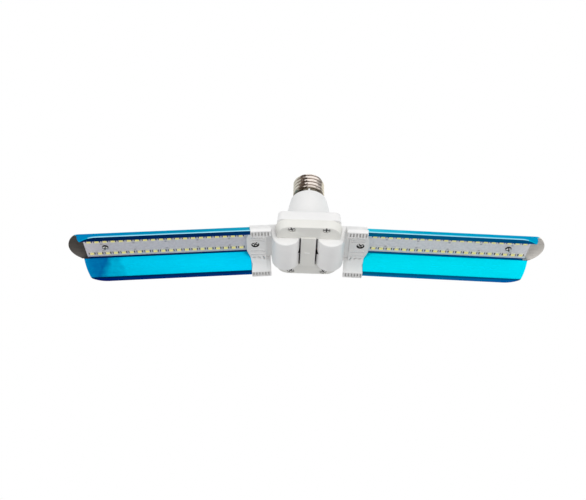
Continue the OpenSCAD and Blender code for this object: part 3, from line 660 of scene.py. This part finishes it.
def make_screw(name, shank_length, turned=0.0):
    """A screw that points up, with the seat of its head at height zero."""
    screw = turn_on_lathe(name, (
        (0, -head_height), (1.5, -head_height), (2.25, -1.4), (2.35, -1.35), (2.6, -1.0),
        (head_radius, -0.6), (head_radius, 0), (shank_radius, 0), (shank_radius, shank_length - 0.8),
        (0.7, shank_length), (0, shank_length)), 48)
    for angle in (0, pi / 2):
        blade = add_block("driver_tip", (-1.8, -0.5, -2), (1.8, 0.5, -0.4))
        draw_in(blade, lambda centre, normal: normal.z > 0.9, 0.45, 0.7)
        turn_by(blade, angle + turned, "Z")
        cut_with(screw, blade)
    coat(screw, zinc)
    coat(screw, recess_steel, lambda centre, normal: -1.5 * mm < centre.z < -0.3 * mm
         and hypot(centre.x, centre.y) < 2.0 * mm)
    coat(screw, recess_steel, lambda centre, normal: centre.z < -0.02 * mm
         and hypot(centre.x, centre.y) > 2.3 * mm)
    return screw


def move_by(piece, x, y, z):
    """Moves a finished mesh to its place in mm."""
    piece.data.transform(Matrix.Translation(Vector((x, y, z)) * mm))


def copy_of(piece, name):
    take(piece)
    bpy.ops.object.duplicate(linked=False)
    twin = bpy.context.object
    twin.name = twin.data.name = name
    return twin


cover_screws = []
for number, (x, y) in enumerate(screw_places):
    screw = make_screw(f"cover_screw_{number + 1}", 10.5, turned=radians(20 + 35 * number))
    move_by(screw, x, y, seat_top)
    cover_screws.append(screw)
take(cover_screws[0], *cover_screws[1:])
bpy.ops.object.join()
cover_screw_set = bpy.context.object
cover_screw_set.name = "cover_screw_set"
hand_over(cover_screw_set, "hub", "steel", zinc, "cover_screws")

# ---- Driver ----
# The circuit board stands in the cone's rails with its parts soldered to it: capacitor, choke, film
# capacitor and fuse in front, rectifier and chip behind. None of it shows until the lamp is opened.
def dress(finish, *names):
    """Gives a finish to CAD nodes that are shown as they are."""
    for name in names:
        node = frame["nodes"][name]
        node.data.materials.clear()
        node.data.materials.append(finish)


laminate = start_finish("driver_laminate", (0.10, 0.32, 0.16), 0.0, 0.35)
where = place_on(laminate)
tracks = node_in(laminate, "ShaderNodeTexBrick",
                 {"Vector": where, "Scale": 320.0, "Mortar Size": 0.05, "Color1": (0.07, 0.30, 0.14, 1),
                  "Color2": (0.12, 0.38, 0.19, 1), "Mortar": (0.04, 0.20, 0.09, 1)})
feed(laminate, colour=tracks.outputs["Color"],
     roughness=rescale(laminate, grain(laminate, where, 1.5), 0.28, 0.45),
     relief=(tracks.outputs["Fac"], 0.03))
dress(laminate, "driver_board")
dress(plain_finish("capacitor_sleeve", (0.03, 0.03, 0.05), (0.06, 0.06, 0.085), 3, 0.32, 0.02),
      "bulk_capacitor")
dress(plain_finish("choke_wire", (0.30, 0.10, 0.03), (0.62, 0.26, 0.09), 0.8, 0.35, 0.08, 0.7, (1, 1, 8)),
      "choke")
dress(plain_finish("moulded_epoxy", (0.02, 0.02, 0.02), (0.045, 0.045, 0.045), 0.5, 0.55, 0.02),
      "bridge_rectifier", "driver_chip")
dress(plain_finish("capacitor_film", (0.45, 0.09, 0.04), (0.62, 0.15, 0.07), 2.5, 0.3, 0.04),
      "film_capacitor")
dress(plain_finish("resistor_lacquer", (0.30, 0.42, 0.46), (0.42, 0.55, 0.58), 1.5, 0.4, 0.02),
      "fuse_resistor")
dress(plain_finish("lead_sleeve_red", (0.45, 0.03, 0.025), (0.62, 0.06, 0.05), 1.5, 0.42, 0.02),
      "cap_leads", "supply_leads", "left_arm_leads", "right_arm_leads")
dress(plain_finish("brushed_steel", (0.45, 0.45, 0.45), (0.66, 0.66, 0.65), 1.5, 0.3, 0.015, 1.0,
                   (1, 14, 1)), "left_hinge_pin", "right_hinge_pin")
dress(plain_finish("nylon", (0.80, 0.80, 0.78), (0.88, 0.87, 0.85), 1.0, 0.45, 0.01),
      "left_washers", "right_washers")

# ---- Knuckles ----
# One white moulding for each arm: the drum that turns on the hinge pin, the neck, and the saddle that
# grips the blade's end from above. It is drawn on a level right arm and carried to both sides.
drum_radius, drum_half = 11.0, 15.8
cap_start, cap_wall_end, cap_reach, cap_drop = 11.8, 15.2, 27.4, -6.5
saddle_height, saddle_brim, saddle_slant = 11.7, -2.6, 0.6
groove_start, groove_half, groove_top = 11.3, 17.3, 5.4
gap_half, gap_pitch, gap_y, gap_reach, gap_depth = 0.6, 2.4, 24.5, 2.3, 1.4
hinges = {joint["child"].split("_")[0]: joint for joint in frame["joints"]}


def fit_to_arm(piece, side, slot, finish, node):
    """Carries a finished piece from the level right arm to one that hangs as in the photo, and hands it
    over there."""
    hinge = hinges[side]
    turn = Matrix.Rotation(radians(-hinge["range_deg"][0]), 4, "Y")
    if side == "left":
        turn = Matrix.Scale(-1, 4, (1, 0, 0)) @ turn
    piece.data.transform(Matrix.Translation(hinge["pos_m"]) @ turn)
    if side == "left":
        piece.data.flip_normals()
    hand_over(piece, side + "_arm", slot, finish, side + "_" + node)


def both_sides(half):
    """A closed outline from its half on the far side, as depths and heights in mm."""
    return [(y, z) for y, z, *rest in half] + [(-y, z) for y, z, *rest in reversed(half)]


def fill_and_pull(x, y, z):
    """Fills the outline that was just traced, and draws it out into a solid."""
    pick_all()
    bpy.ops.mesh.edge_face_add()
    pick_all()
    pull(x, y, z)
    merge_and_face_out()
    leave_all()


def push_through(name, outline, start, end):
    """A bar with this outline, from one distance along the arm to another, in mm."""
    piece = trace(name, [(start * mm, y * mm, z * mm) for y, z in outline])
    fill_and_pull((end - start) * mm, 0, 0)
    return piece


def along_edge(y, z):
    """A test for the edges that run along the arm at a depth, on both sides, and a height."""
    return lambda a, b: (near(abs(a.y), y) and near(abs(b.y), y) and near(a.z, z) and near(b.z, z)
                         and a.y * b.y > 0 and abs(a.x - b.x) > mm)


def cut_tooth_gaps(piece, places):
    """Cuts gaps under both brims at these distances along the arm."""
    for x in places:
        for y in (-gap_y, gap_y):
            cut_with(piece, add_block("tooth_gap", (x - gap_half, y - gap_reach, cap_drop - 1),
                                      (x + gap_half, y + gap_reach, cap_drop + gap_depth)))


saddle = ((15.18, saddle_height, 1.8), (23.38, saddle_brim, 1.0), (28.1, saddle_brim, 0.9),
          (28.1, cap_drop, 0.4), (21.5, cap_drop, 0.6), (15.6, 4.0, 1.0))
knuckle = push_through("knuckle", both_sides(saddle), cap_start, cap_reach + 2)
for y, z, radius in saddle:
    round_off(knuckle, radius, 4, along_edge(y, z))
round_off(knuckle, 0.35, 2, lambda a, b: near(a.x, cap_start) and near(b.x, cap_start))
lean = atan2(saddle_slant, saddle_height - saddle_brim)
work_on(knuckle)
split((cap_reach, 0, saddle_brim), (cos(lean), 0, -sin(lean)), use_fill=True, clear_outer=True)
leave_all()
blade_room = ((14.62, 10.7), (22.82, saddle_brim - 1), (27.1, saddle_brim - 1), (27.1, -8))
cut_with(knuckle, push_through("blade_room", both_sides(blade_room), cap_wall_end, cap_reach + 3))
cut_tooth_gaps(knuckle, (cap_wall_end - gap_pitch / 2, cap_wall_end - gap_pitch * 1.5))
cut_with(knuckle, add_block("groove", (cap_start - 1, -groove_half, cap_drop - 1),
                            (cap_wall_end + 1, groove_half, groove_top)))
neck = add_block("neck", (0, -drum_half, groove_top), (cap_start + 0.5, drum_half, drum_radius))
round_off(neck, 0.9, 4, along_edge(drum_half, drum_radius))
join_with(knuckle, neck)
drum = add_rod("drum", drum_radius, 2 * drum_half, (0, 0, 0), "Y", 128)
heel = add_block("heel", (0, -drum_half, 1), (groove_start, drum_half, drum_radius))
join_with(drum, heel)
round_off(drum, 0.9, 4, lambda a, b: near(abs(a.y), drum_half) and near(abs(b.y), drum_half)
          and a.y * b.y > 0 and min(hypot(a.x, a.z), hypot(b.x, b.z)) > 10.9 * mm)
join_with(knuckle, drum)
inside = add_rod("drum_hollow", drum_radius - wall, 2 * drum_half - 5, (0, 0, 0), "Y", 64)
cut_with(inside, add_rod("pin_tube", 4, 40, (0, 0, 0), "Y", 48))
cut_with(knuckle, inside)
cut_with(knuckle, add_rod("pin_bore", pin_seat_radius, 40, (0, 0, 0), "Y", 48))
cut_with(knuckle, add_block("window", (-12, -wire_half, -wire_half), (-4, wire_half, wire_half)))
notch_height, notch_wide, notch_tall = -3.2, 2.5, 2.2
notch = add_block("notch", (-12, -1, -1), (-8, 1, 1))
turn_by(notch, pi / 4, "X")
work_on(notch)
bpy.ops.transform.resize(value=(1, notch_wide, notch_tall), center_override=(0, 0, 0))
bpy.ops.transform.translate(value=(0, 0, notch_height * mm))
leave_all()
cut_with(knuckle, notch)
cut_with(knuckle, add_block("wire_way", (4, -wire_half, 6.2), (cap_wall_end + 1, wire_half, 9.0)))

# The notch is assumed, as what fills the slots beside the block isn't known. The black on it and on a
# strip of the drum is painted shadow. The tooth gaps are painted shade, as their relief alone looks too pale.
shaded_plastic = plain_finish("shaded_plastic", (0.56, 0.56, 0.55), (0.70, 0.69, 0.67), 1.5, 0.6, 0.02)
coat(knuckle, white_plastic)
coat(knuckle, slot_shadow_black, lambda centre, normal: centre.x < -7.6 * mm and abs(centre.y) < 3.6 * mm
     and hypot(centre.x, centre.z) < 10.9 * mm)
coat(knuckle, slot_shadow_black, lambda centre, normal: centre.x < -10.6 * mm and normal.x < -0.95
     and abs(centre.y) < drum_half * mm)
coat(knuckle, shaded_plastic, lambda centre, normal: cap_start * mm < centre.x < cap_wall_end * mm
     and abs(centre.y) > 21.6 * mm and centre.z < (cap_drop + 1.45) * mm
     and (abs(normal.x) > 0.9 or abs(normal.z) > 0.9) and centre.z > (cap_drop + 0.1) * mm)
for side in hinges:
    piece = copy_of(knuckle, side + "_knuckle_moulding")
    fit_to_arm(piece, side, "white_plastic", white_plastic, "knuckle")
bpy.data.objects.remove(knuckle)

# ---- Blades ----
# Each blade is one aluminium sheet, bent to a hat section and anodised blue. Its sides stop short of
# the tip with round corners, and the web goes on as a bare tongue, presumably masked in the dye bath.
sheet, blade_start, wall_reach, tongue_length = 1.0, 15.6, 162.0, 7.4
web_half, web_height, foot_half, brim_half, brim_height = 14.0, 9.6, 22.2, 27.0, -4.7
board_screw_x, cap_screw_x = 141.3, 23.9
tip_corner, stencil_half = 20.0, 20

blade = trace("blade", [(blade_start * mm, y * mm, z * mm) for y, z in (
    (-brim_half, brim_height), (-foot_half, brim_height), (-web_half, web_height),
    (web_half, web_height), (foot_half, brim_height), (brim_half, brim_height))])
pick_all()
pull((wall_reach + tongue_length + 1 - blade_start) * mm, 0, 0)
pick_all()
bpy.ops.mesh.normals_make_consistent(inside=False)
leave_all()
for y, z in ((web_half, web_height), (foot_half, brim_height)):
    round_off(blade, 0.9, 5, along_edge(y, z))
top = max(blade.data.polygons, key=lambda face: face.area).normal.z
apply_change(blade, "SOLIDIFY", thickness=sheet * mm, offset=1 if top > 0 else -1, use_even_offset=True)


def arc(x, y, radius, start, end, steps):
    """Points on an arc in the level plane, with its centre in mm and its angles in degrees."""
    return [(x + radius * cos(radians(start + (end - start) * step / steps)),
             y + radius * sin(radians(start + (end - start) * step / steps))) for step in range(steps + 1)]


def cut_to_plan(piece, plan):
    """Keeps what lies inside an outline as seen from above, given as places in mm."""
    stencil = trace("stencil", [(x * mm, y * mm, -stencil_half * mm) for x, y in plan])
    fill_and_pull(0, 0, 2 * stencil_half * mm)
    combine(piece, stencil, "INTERSECT")


tongue_radius = (web_half ** 2 + tongue_length ** 2) / (2 * tongue_length)
tongue_centre = wall_reach + tongue_length - tongue_radius
tongue_angle = atan2(web_half, wall_reach - tongue_centre) * 180 / pi
corner_angle = asin((web_half - brim_half + tip_corner) / tip_corner) * 180 / pi
plan = [(10, -30), (wall_reach - tip_corner, -30)]
plan += arc(wall_reach - tip_corner, tip_corner - brim_half, tip_corner, -90, -corner_angle, 16)
plan += arc(tongue_centre, 0, tongue_radius, -tongue_angle, tongue_angle, 24)
plan += arc(wall_reach - tip_corner, brim_half - tip_corner, tip_corner, corner_angle, 90, 16)
plan += [(wall_reach - tip_corner, 30), (10, 30)]
cut_to_plan(blade, plan)
for x in (board_screw_x, cap_screw_x):
    cut_with(blade, add_rod("screw_hole", hole_radius, 6, (x, 0, web_height), sides=32))
apply_change(blade, "BEVEL", width=0.16 * mm, segments=2, limit_method="ANGLE", angle_limit=radians(50))


def arm_place(finish, side, stretch=(1, 1, 1)):
    """Coordinates along the level arm, for a finish that follows the blade."""
    hinge = hinges[side]
    droop = radians(-hinge["range_deg"][0])
    hand = -1 if side == "left" else 1
    level = place_on(finish, "TEXTURE", location=hinge["pos_m"], rotation=(0, hand * droop, 0),
                     scale=(hand, 1, 1))
    return level, node_in(finish, "ShaderNodeMapping", {"Vector": level, "Scale": stretch}).outputs[0]


def blue_finish(name, side, tones):
    """Dyed aluminium, drawn lengthwise, with light and shade painted along the arm. Its tones are a dark and
    a light one for each distance along the arm in mm, from the hub to the tip."""
    finish = start_finish(side + "_" + name, tones[0][2], 1.0, 0.3)
    shader = finish.node_tree.nodes["Principled BSDF"]
    shader.inputs["Specular Tint"].default_value = (0.0, 0.35, 0.6, 1)
    level, drawn = arm_place(finish, side, (0.04, 1, 1))
    along = node_in(finish, "ShaderNodeSeparateXYZ", {"Vector": level}).outputs["X"]
    streaks = grain(finish, drawn, 0.7, 4)
    clouds = rescale(finish, grain(finish, level, 9, 3), -6, 6)
    share = rescale(finish, calculate(finish, "MULTIPLY_ADD", along, 1 / mm, clouds), 0.0, 1.0, 0, arm_length)
    dark = shade(finish, share, *[(x / arm_length, low) for x, low, high in tones])
    light = shade(finish, share, *[(x / arm_length, high) for x, low, high in tones])
    feed(finish, colour=blend(finish, rescale(finish, streaks, 0.0, 1.0), dark, light),
         roughness=rescale(finish, streaks, 0.26, 0.38), relief=(streaks, 0.008))
    return finish


def bare_finish(side, dark, light):
    """Bare aluminium with the lengthwise marks of rolling."""
    finish = start_finish(side + "_bare_aluminium", light, 1.0, 0.38)
    drawn = arm_place(finish, side, (0.06, 1, 1))[1]
    streaks = grain(finish, drawn, 0.5, 4)
    feed(finish, colour=shade(finish, streaks, (0.3, dark), (0.7, light)),
         roughness=rescale(finish, streaks, 0.3, 0.5), relief=(streaks, 0.012))
    return finish


board_reach, arm_length = 157.0, 170.0
bare_start = board_reach - 0.4
work_on(blade)
split((bare_start, 0, 0), (1, 0, 0))
leave_all()
# The tones along the arm, the left arm's darker blues and its dark tongue stand for what the light in
# the photo does to them. The real blades presumably have one blue and one bare metal.
walls = {
    "left": blue_finish("wall_blue", "left", (
        (20, (0.0, 0.59, 0.93), (0.0, 0.67, 1.0)), (70, (0.0, 0.65, 0.96), (0.0, 0.73, 1.0)),
        (128, (0.0, 0.63, 0.94), (0.0, 0.70, 1.0)), (140, (0.0, 0.36, 0.64), (0.0, 0.45, 0.72)),
        (149, (0.0, 0.13, 0.40), (0.0, 0.18, 0.46)), (158, (0.0, 0.23, 0.52), (0.0, 0.30, 0.60)))),
    "right": blue_finish("wall_blue", "right", (
        (20, (0.0, 0.76, 0.97), (0.0, 0.83, 1.0)), (90, (0.0, 0.78, 0.98), (0.0, 0.85, 1.0)),
        (160, (0.0, 0.76, 0.97), (0.0, 0.83, 1.0))))}
shaded_undersides = {
    "left": blue_finish("brim_blue", "left", (
        (20, (0.0, 0.06, 0.22), (0.0, 0.09, 0.29)), (45, (0.0, 0.035, 0.16), (0.0, 0.055, 0.23)),
        (160, (0.0, 0.02, 0.11), (0.0, 0.04, 0.16)))),
    "right": blue_finish("brim_blue", "right", (
        (20, (0.0, 0.17, 0.34), (0.0, 0.23, 0.42)), (60, (0.0, 0.14, 0.34), (0.0, 0.20, 0.44)),
        (160, (0.0, 0.11, 0.32), (0.0, 0.16, 0.40))))}
outsides = {
    "left": blue_finish("outer_blue", "left", (
        (20, (0.07, 0.44, 0.52), (0.12, 0.54, 0.60)), (50, (0.01, 0.38, 0.48), (0.06, 0.46, 0.56)),
        (75, (0.0, 0.34, 0.43), (0.0, 0.42, 0.50)), (160, (0.0, 0.26, 0.46), (0.0, 0.33, 0.54)))),
    "right": blue_finish("outer_blue", "right", (
        (20, (0.12, 0.68, 0.70), (0.18, 0.76, 0.78)), (45, (0.06, 0.58, 0.64), (0.12, 0.66, 0.72)),
        (70, (0.0, 0.46, 0.56), (0.0, 0.53, 0.64)), (160, (0.0, 0.40, 0.56), (0.0, 0.47, 0.64))))}
edge_highlight_tones = ((20, (0.25, 0.62, 0.76), (0.45, 0.75, 0.85)), (160, (0.18, 0.55, 0.72), (0.36, 0.70, 0.84)))
edge_highlights = {side: blue_finish("edge_blue", side, edge_highlight_tones) for side in hinges}
bares = {"left": bare_finish("left", (0.065, 0.058, 0.052), (0.125, 0.11, 0.095)),
         "right": bare_finish("right", (0.55, 0.52, 0.48), (0.74, 0.71, 0.66))}
# Painted light and shade by the way each face turns: walls light, brim undersides dark, cut edges bright.
for side in hinges:
    piece = copy_of(blade, side + "_blade")
    coat(piece, outsides[side])
    coat(piece, walls[side], lambda centre, normal: normal.z < -0.2)
    coat(piece, shaded_undersides[side], lambda centre, normal: normal.z < -0.72)
    coat(piece, edge_highlights[side], lambda centre, normal: abs(normal.y) > 0.8
         and abs(centre.y) > (brim_half - 1) * mm)
    coat(piece, bares[side], lambda centre, normal: centre.x > bare_start * mm
         and centre.z > (web_height - 1.0) * mm and abs(centre.y) < web_half * mm)
    fit_to_arm(piece, side, "blue_anodised", outsides[side], "heat_sink")
bpy.data.objects.remove(blade)

# ---- LED boards ----
# Aluminium circuit boards with a lilac-grey resist, screwed flat under the web near the tip and under
# the end cover. The resist is a little uneven, and the cut edges are bare.
board_start, board_half, board_face = 16.0, 11.2, 8.4
board_shift = {"left": 0.0, "right": -0.5}
board = add_block("board", (board_start, -board_half, board_face), (board_reach, board_half, web_height))
round_off(board, 0.8, 4, lambda a, b: upright(a, b) and near(a.x, board_reach))
round_off(board, 0.12, 2, at_height(board_face))
for x in (board_screw_x, cap_screw_x):
    cut_with(board, add_rod("screw_hole", hole_radius, 4, (x, 0, 9), sides=32))


def resist_finish(side, dark, light):
    """Lilac-grey solder resist, a little cloudy."""
    finish = start_finish(side + "_board_resist", light, 0.0, 0.42)
    level = arm_place(finish, side)[0]
    feed(finish, colour=shade(finish, grain(finish, level, 2.2, 4), (0.3, dark), (0.7, light)),
         roughness=rescale(finish, grain(finish, level, 1.0), 0.36, 0.50),
         relief=(grain(finish, level, 1.4), 0.015))
    return finish


cut_metal = plain_finish("cut_aluminium", (0.50, 0.50, 0.50), (0.68, 0.68, 0.67), 0.6, 0.4, 0.02, 1.0)
# The right board's resist is lighter with painted light, and the board lies a little further to the front.
resists = {"left": resist_finish("left", (0.66, 0.63, 0.66), (0.76, 0.73, 0.77)),
           "right": resist_finish("right", (0.74, 0.72, 0.74), (0.86, 0.84, 0.86))}
for side in hinges:
    piece = copy_of(board, side + "_board")
    resist = resists[side]
    coat(piece, resist)
    coat(piece, cut_metal, lambda centre, normal: abs(normal.z) < 0.5 and hypot(normal.x, normal.y) > 0.8)
    move_by(piece, 0, board_shift[side], 0)
    fit_to_arm(piece, side, "board_aluminium", resist, "led_board")
bpy.data.objects.remove(board)

# ---- LEDs ----
# Forty packages on each board in two rows: a pale moulded frame, the yellow phosphor sunk in it, and
# dark pads at both ends. One is made and copied along the rows.
led_half, led_side, led_height = 1.75, 1.45, 0.7
led_pitch, led_start, led_row, led_count = 6.2, 35.0, 7.1, 20

led = add_block("led", (-led_half, -led_side, -led_height), (led_half, led_side, 0))
work_on(led, "FACE", lambda centre, normal: normal.z < -0.9)
bpy.ops.mesh.inset(thickness=0.28 * mm, depth=0)
bpy.ops.mesh.inset(thickness=0.16 * mm, depth=-0.14 * mm)
leave_all()
round_off(led, 0.1, 2, lambda a, b: upright(a, b) and near(abs(a.x), led_half))
led_frame = plain_finish("led_frame", (0.88, 0.85, 0.62), (0.94, 0.92, 0.74), 0.8, 0.4, 0.01)
phosphor = plain_finish("led_phosphor", (0.92, 0.78, 0.20), (0.97, 0.88, 0.32), 0.35, 0.5, 0.02)
# The lamp is off. A weak glow brings the phosphor to the brightness that it has in the photo.
painted_glow = phosphor.node_tree.nodes["Principled BSDF"]
painted_glow.inputs["Emission Color"].default_value = (1.0, 0.85, 0.25, 1)
painted_glow.inputs["Emission Strength"].default_value = 0.16
dark_solder = plain_finish("dark_solder", (0.02, 0.016, 0.016), (0.06, 0.05, 0.05), 0.4, 0.5, 0.03, 0.3)
coat(led, led_frame)
coat(led, phosphor, lambda centre, normal: normal.z < -0.9 and near(centre.z, 0.14 - led_height, 0.03)
     and abs(centre.x) < 1.4 * mm)
led.data.materials.append(dark_solder)
pad_x, pad_half, pad_side, pad_low = 2.1, 0.42, 1.05, -0.28
for x in (-pad_x, pad_x):
    pad = add_block("pad", (x - pad_half, -pad_side, pad_low), (x + pad_half, pad_side, 0.0))
    round_off(pad, 0.14, 2, at_height(pad_low))
    for finish in (led_frame, phosphor, dark_solder):
        pad.data.materials.append(finish)
    for face in pad.data.polygons:
        face.material_index = 2
    take(led, pad)
    bpy.ops.object.join()


def row_of_copies(name, part, places):
    """Copies of a part at places along the arm, as one piece instead of the part."""
    copies = []
    for x, y, z in places:
        twin = copy_of(part, name)
        move_by(twin, x, y, z)
        copies.append(twin)
    bpy.data.objects.remove(part)
    take(copies[0], *copies[1:])
    bpy.ops.object.join()
    return bpy.context.object


led_places = [(led_start + number * led_pitch, row * led_row, board_face)
              for number in range(led_count) for row in (-1, 1)]
all_leds = row_of_copies("leds", led, led_places)
for side in hinges:
    piece = copy_of(all_leds, side + "_led_rows")
    move_by(piece, 0, board_shift[side], 0)
    fit_to_arm(piece, side, "led_yellow", led_frame, "leds")
bpy.data.objects.remove(all_leds)

# ---- Chip resistors ----
# Ten small chips on each board between the LED rows: a grey glazed body with tinned ends that lies flat
# on the board. One is made and copied.
chip_half, chip_end, chip_height, chip_row = 0.8, 0.5, 0.5, 4.0
chip = add_block("chip", (-chip_half, -0.4, -chip_height), (chip_half, 0.4, 0))
work_on(chip)
for x in (-chip_end, chip_end):
    split((x, 0, 0), (1, 0, 0))
leave_all()
chip_low = at_height(-chip_height)
round_off(chip, 0.06, 1, lambda a, b: chip_low(a, b) and abs(a.x - b.x) < mm / 100 and abs(a.x) > 0.7 * mm)
chip_glaze = plain_finish("chip_glaze", (0.42, 0.41, 0.44), (0.55, 0.54, 0.57), 0.3, 0.4, 0.01)
tinned_end = plain_finish("tinned_end", (0.45, 0.44, 0.42), (0.66, 0.65, 0.62), 0.3, 0.35, 0.02, 1.0)
coat(chip, chip_glaze)
coat(chip, tinned_end, lambda centre, normal: abs(centre.x) > chip_end * mm)
chip_places = [(led_start + (number + 0.5) * led_pitch, row * chip_row, board_face)
               for number in range(1, led_count, 4) for row in (-1, 1)]
all_chips = row_of_copies("chips", chip, chip_places)
for side in hinges:
    piece = copy_of(all_chips, side + "_chip_resistors")
    move_by(piece, 0, board_shift[side], 0)
    fit_to_arm(piece, side, "chip_black", chip_glaze, "resistors")
bpy.data.objects.remove(all_chips)

# ---- End covers ----
# The white cover under each blade's end: toothed edges under the brims, slopes along the walls, and a
# raised middle with curved ribs and the screw, whose nose reaches over the end of the board.
hump_height, hump_half, hump_reach = 4.0, 15.6, 30.8
nose_flat, nose_foot, cover_brim = 7.5, 17.8, brim_height - 0.1
rib_depths, rib_bend, rib_radius, rib_start, rib_side = (-8.6, -5.9, 6.4, 11.1), 24, 0.7, 16.4, 15
cap_seat_radius, cap_seat_depth = 3.15, 2.1
slit_half, slit_width = 1.3, 0.4
slits = ((24.9, 15.6, 0), (21.1, 15.6, 25), (17.3, 15.9, 50))
tip_head_share = 0.88

end_cover = push_through("end_cover", both_sides((
    (14.59, 8.3), (22.1, cover_brim), (27.0, cover_brim), (27.0, cap_drop), (21.5, cap_drop),
    (hump_half, hump_height))), cap_wall_end, hump_reach)
for y, z, radius in ((27.0, cap_drop, 0.5), (21.5, cap_drop, 0.6), (hump_half, hump_height, 1.0)):
    round_off(end_cover, radius, 4, along_edge(y, z))
cut_to_plan(end_cover, (
    (10, -30), (cap_reach, -30), (cap_reach, -nose_foot), (hump_reach, -nose_flat), (hump_reach, nose_flat),
    (cap_reach, nose_foot), (cap_reach, 30), (10, 30)))


def on_nose(point):
    """Whether a point lies on the outer edge of the raised middle's underside or of its slopes."""
    slant = (hump_reach - cap_reach) / (nose_foot - nose_flat)
    reach = min(hump_reach, hump_reach - slant * (abs(point.y) / mm - nose_flat))
    return near(point.x, reach, 0.03) and abs(point.y) < 19 * mm and point.z < (hump_height + 0.05) * mm


round_off(end_cover, 0.7, 3, lambda a, b: on_nose(a) and on_nose(b))
hump_edge = at_height(hump_height)
round_off(end_cover, 1.2, 4, lambda a, b: hump_edge(a, b) and near(a.x, cap_wall_end)
          and near(b.x, cap_wall_end))
cut_with(end_cover, add_block("lead_room", (0, -4, 6.6), (20, 4, 9.6)))
for depth in rib_depths:
    leave_all()
    bpy.ops.mesh.primitive_torus_add(location=Vector((cap_screw_x, depth + rib_bend, hump_height)) * mm,
                                     major_radius=rib_bend * mm, minor_radius=rib_radius * mm,
                                     major_segments=144, minor_segments=12)
    rib = settle("rib")
    work_on(rib)
    for place, way in (((rib_start, 0, 0), (-1, 0, 0)), ((cap_reach, 0, 0), (1, 0, 0)),
                       ((0, rib_side, 0), (0, 1, 0))):
        split(place, way, clear_outer=True, use_fill=True)
    leave_all()
    join_with(end_cover, rib)
seat_height = hump_height + cap_seat_depth
cut_with(end_cover, add_rod("screw_seat", cap_seat_radius, seat_height, (cap_screw_x, 0, seat_height / 2),
                            sides=48))
cut_with(end_cover, add_rod("screw_hole", hole_radius, 10, (cap_screw_x, 0, 5), sides=32))
for x, depth, angle in slits:
    for row in (-1, 1):
        slit = add_block("slit", (x - slit_half, row * depth - slit_width, 2),
                         (x + slit_half, row * depth + slit_width, hump_height + 1.4))
        turn_by(slit, row * radians(angle), "Z", (x, row * depth, 0))
        cut_with(end_cover, slit)
cut_tooth_gaps(end_cover, [cap_wall_end + (number + 0.5) * gap_pitch for number in range(5)])

# The gaps, the backs of the ribs and the screw's seat are painted darker than the plastic as shade, as
# the relief alone looks too pale.
rib_shade = plain_finish("rib_shade", (0.22, 0.22, 0.22), (0.34, 0.33, 0.33), 1.5, 0.6, 0.02)
coat(end_cover, white_plastic)
coat(end_cover, shaded_plastic, lambda centre, normal: abs(centre.y) > 21.6 * mm and abs(normal.y) < 0.5
     and (cap_drop + 0.1) * mm < centre.z < (cap_drop + 1.45) * mm)
coat(end_cover, rib_shade, lambda centre, normal: normal.y > 0.1 and abs(centre.y) < 14 * mm
     and centre.z < (hump_height - 0.05) * mm and centre.x > (cap_wall_end + 1.3) * mm)
coat(end_cover, recess_steel, lambda centre, normal: abs(normal.z) < 0.3
     and near(hypot(centre.x - cap_screw_x * mm, centre.y), cap_seat_radius, 0.05))
for side in hinges:
    piece = copy_of(end_cover, side + "_cover_moulding")
    fit_to_arm(piece, side, "white_plastic", white_plastic, "end_cover")
    screw = make_screw(side + "_end_screw", 4.5, turned=radians(30))
    move_by(screw, cap_screw_x, 0, seat_height)
    fit_to_arm(screw, side, "steel", zinc, "cover_screw")
    screw = make_screw(side + "_tip_screw", 3.2, turned=radians(15))
    screw.data.transform(Matrix.Diagonal((tip_head_share, tip_head_share, 1, 1)))
    move_by(screw, board_screw_x, board_shift[side], board_face)
    fit_to_arm(screw, side, "steel", zinc, "board_screw")
bpy.data.objects.remove(end_cover)
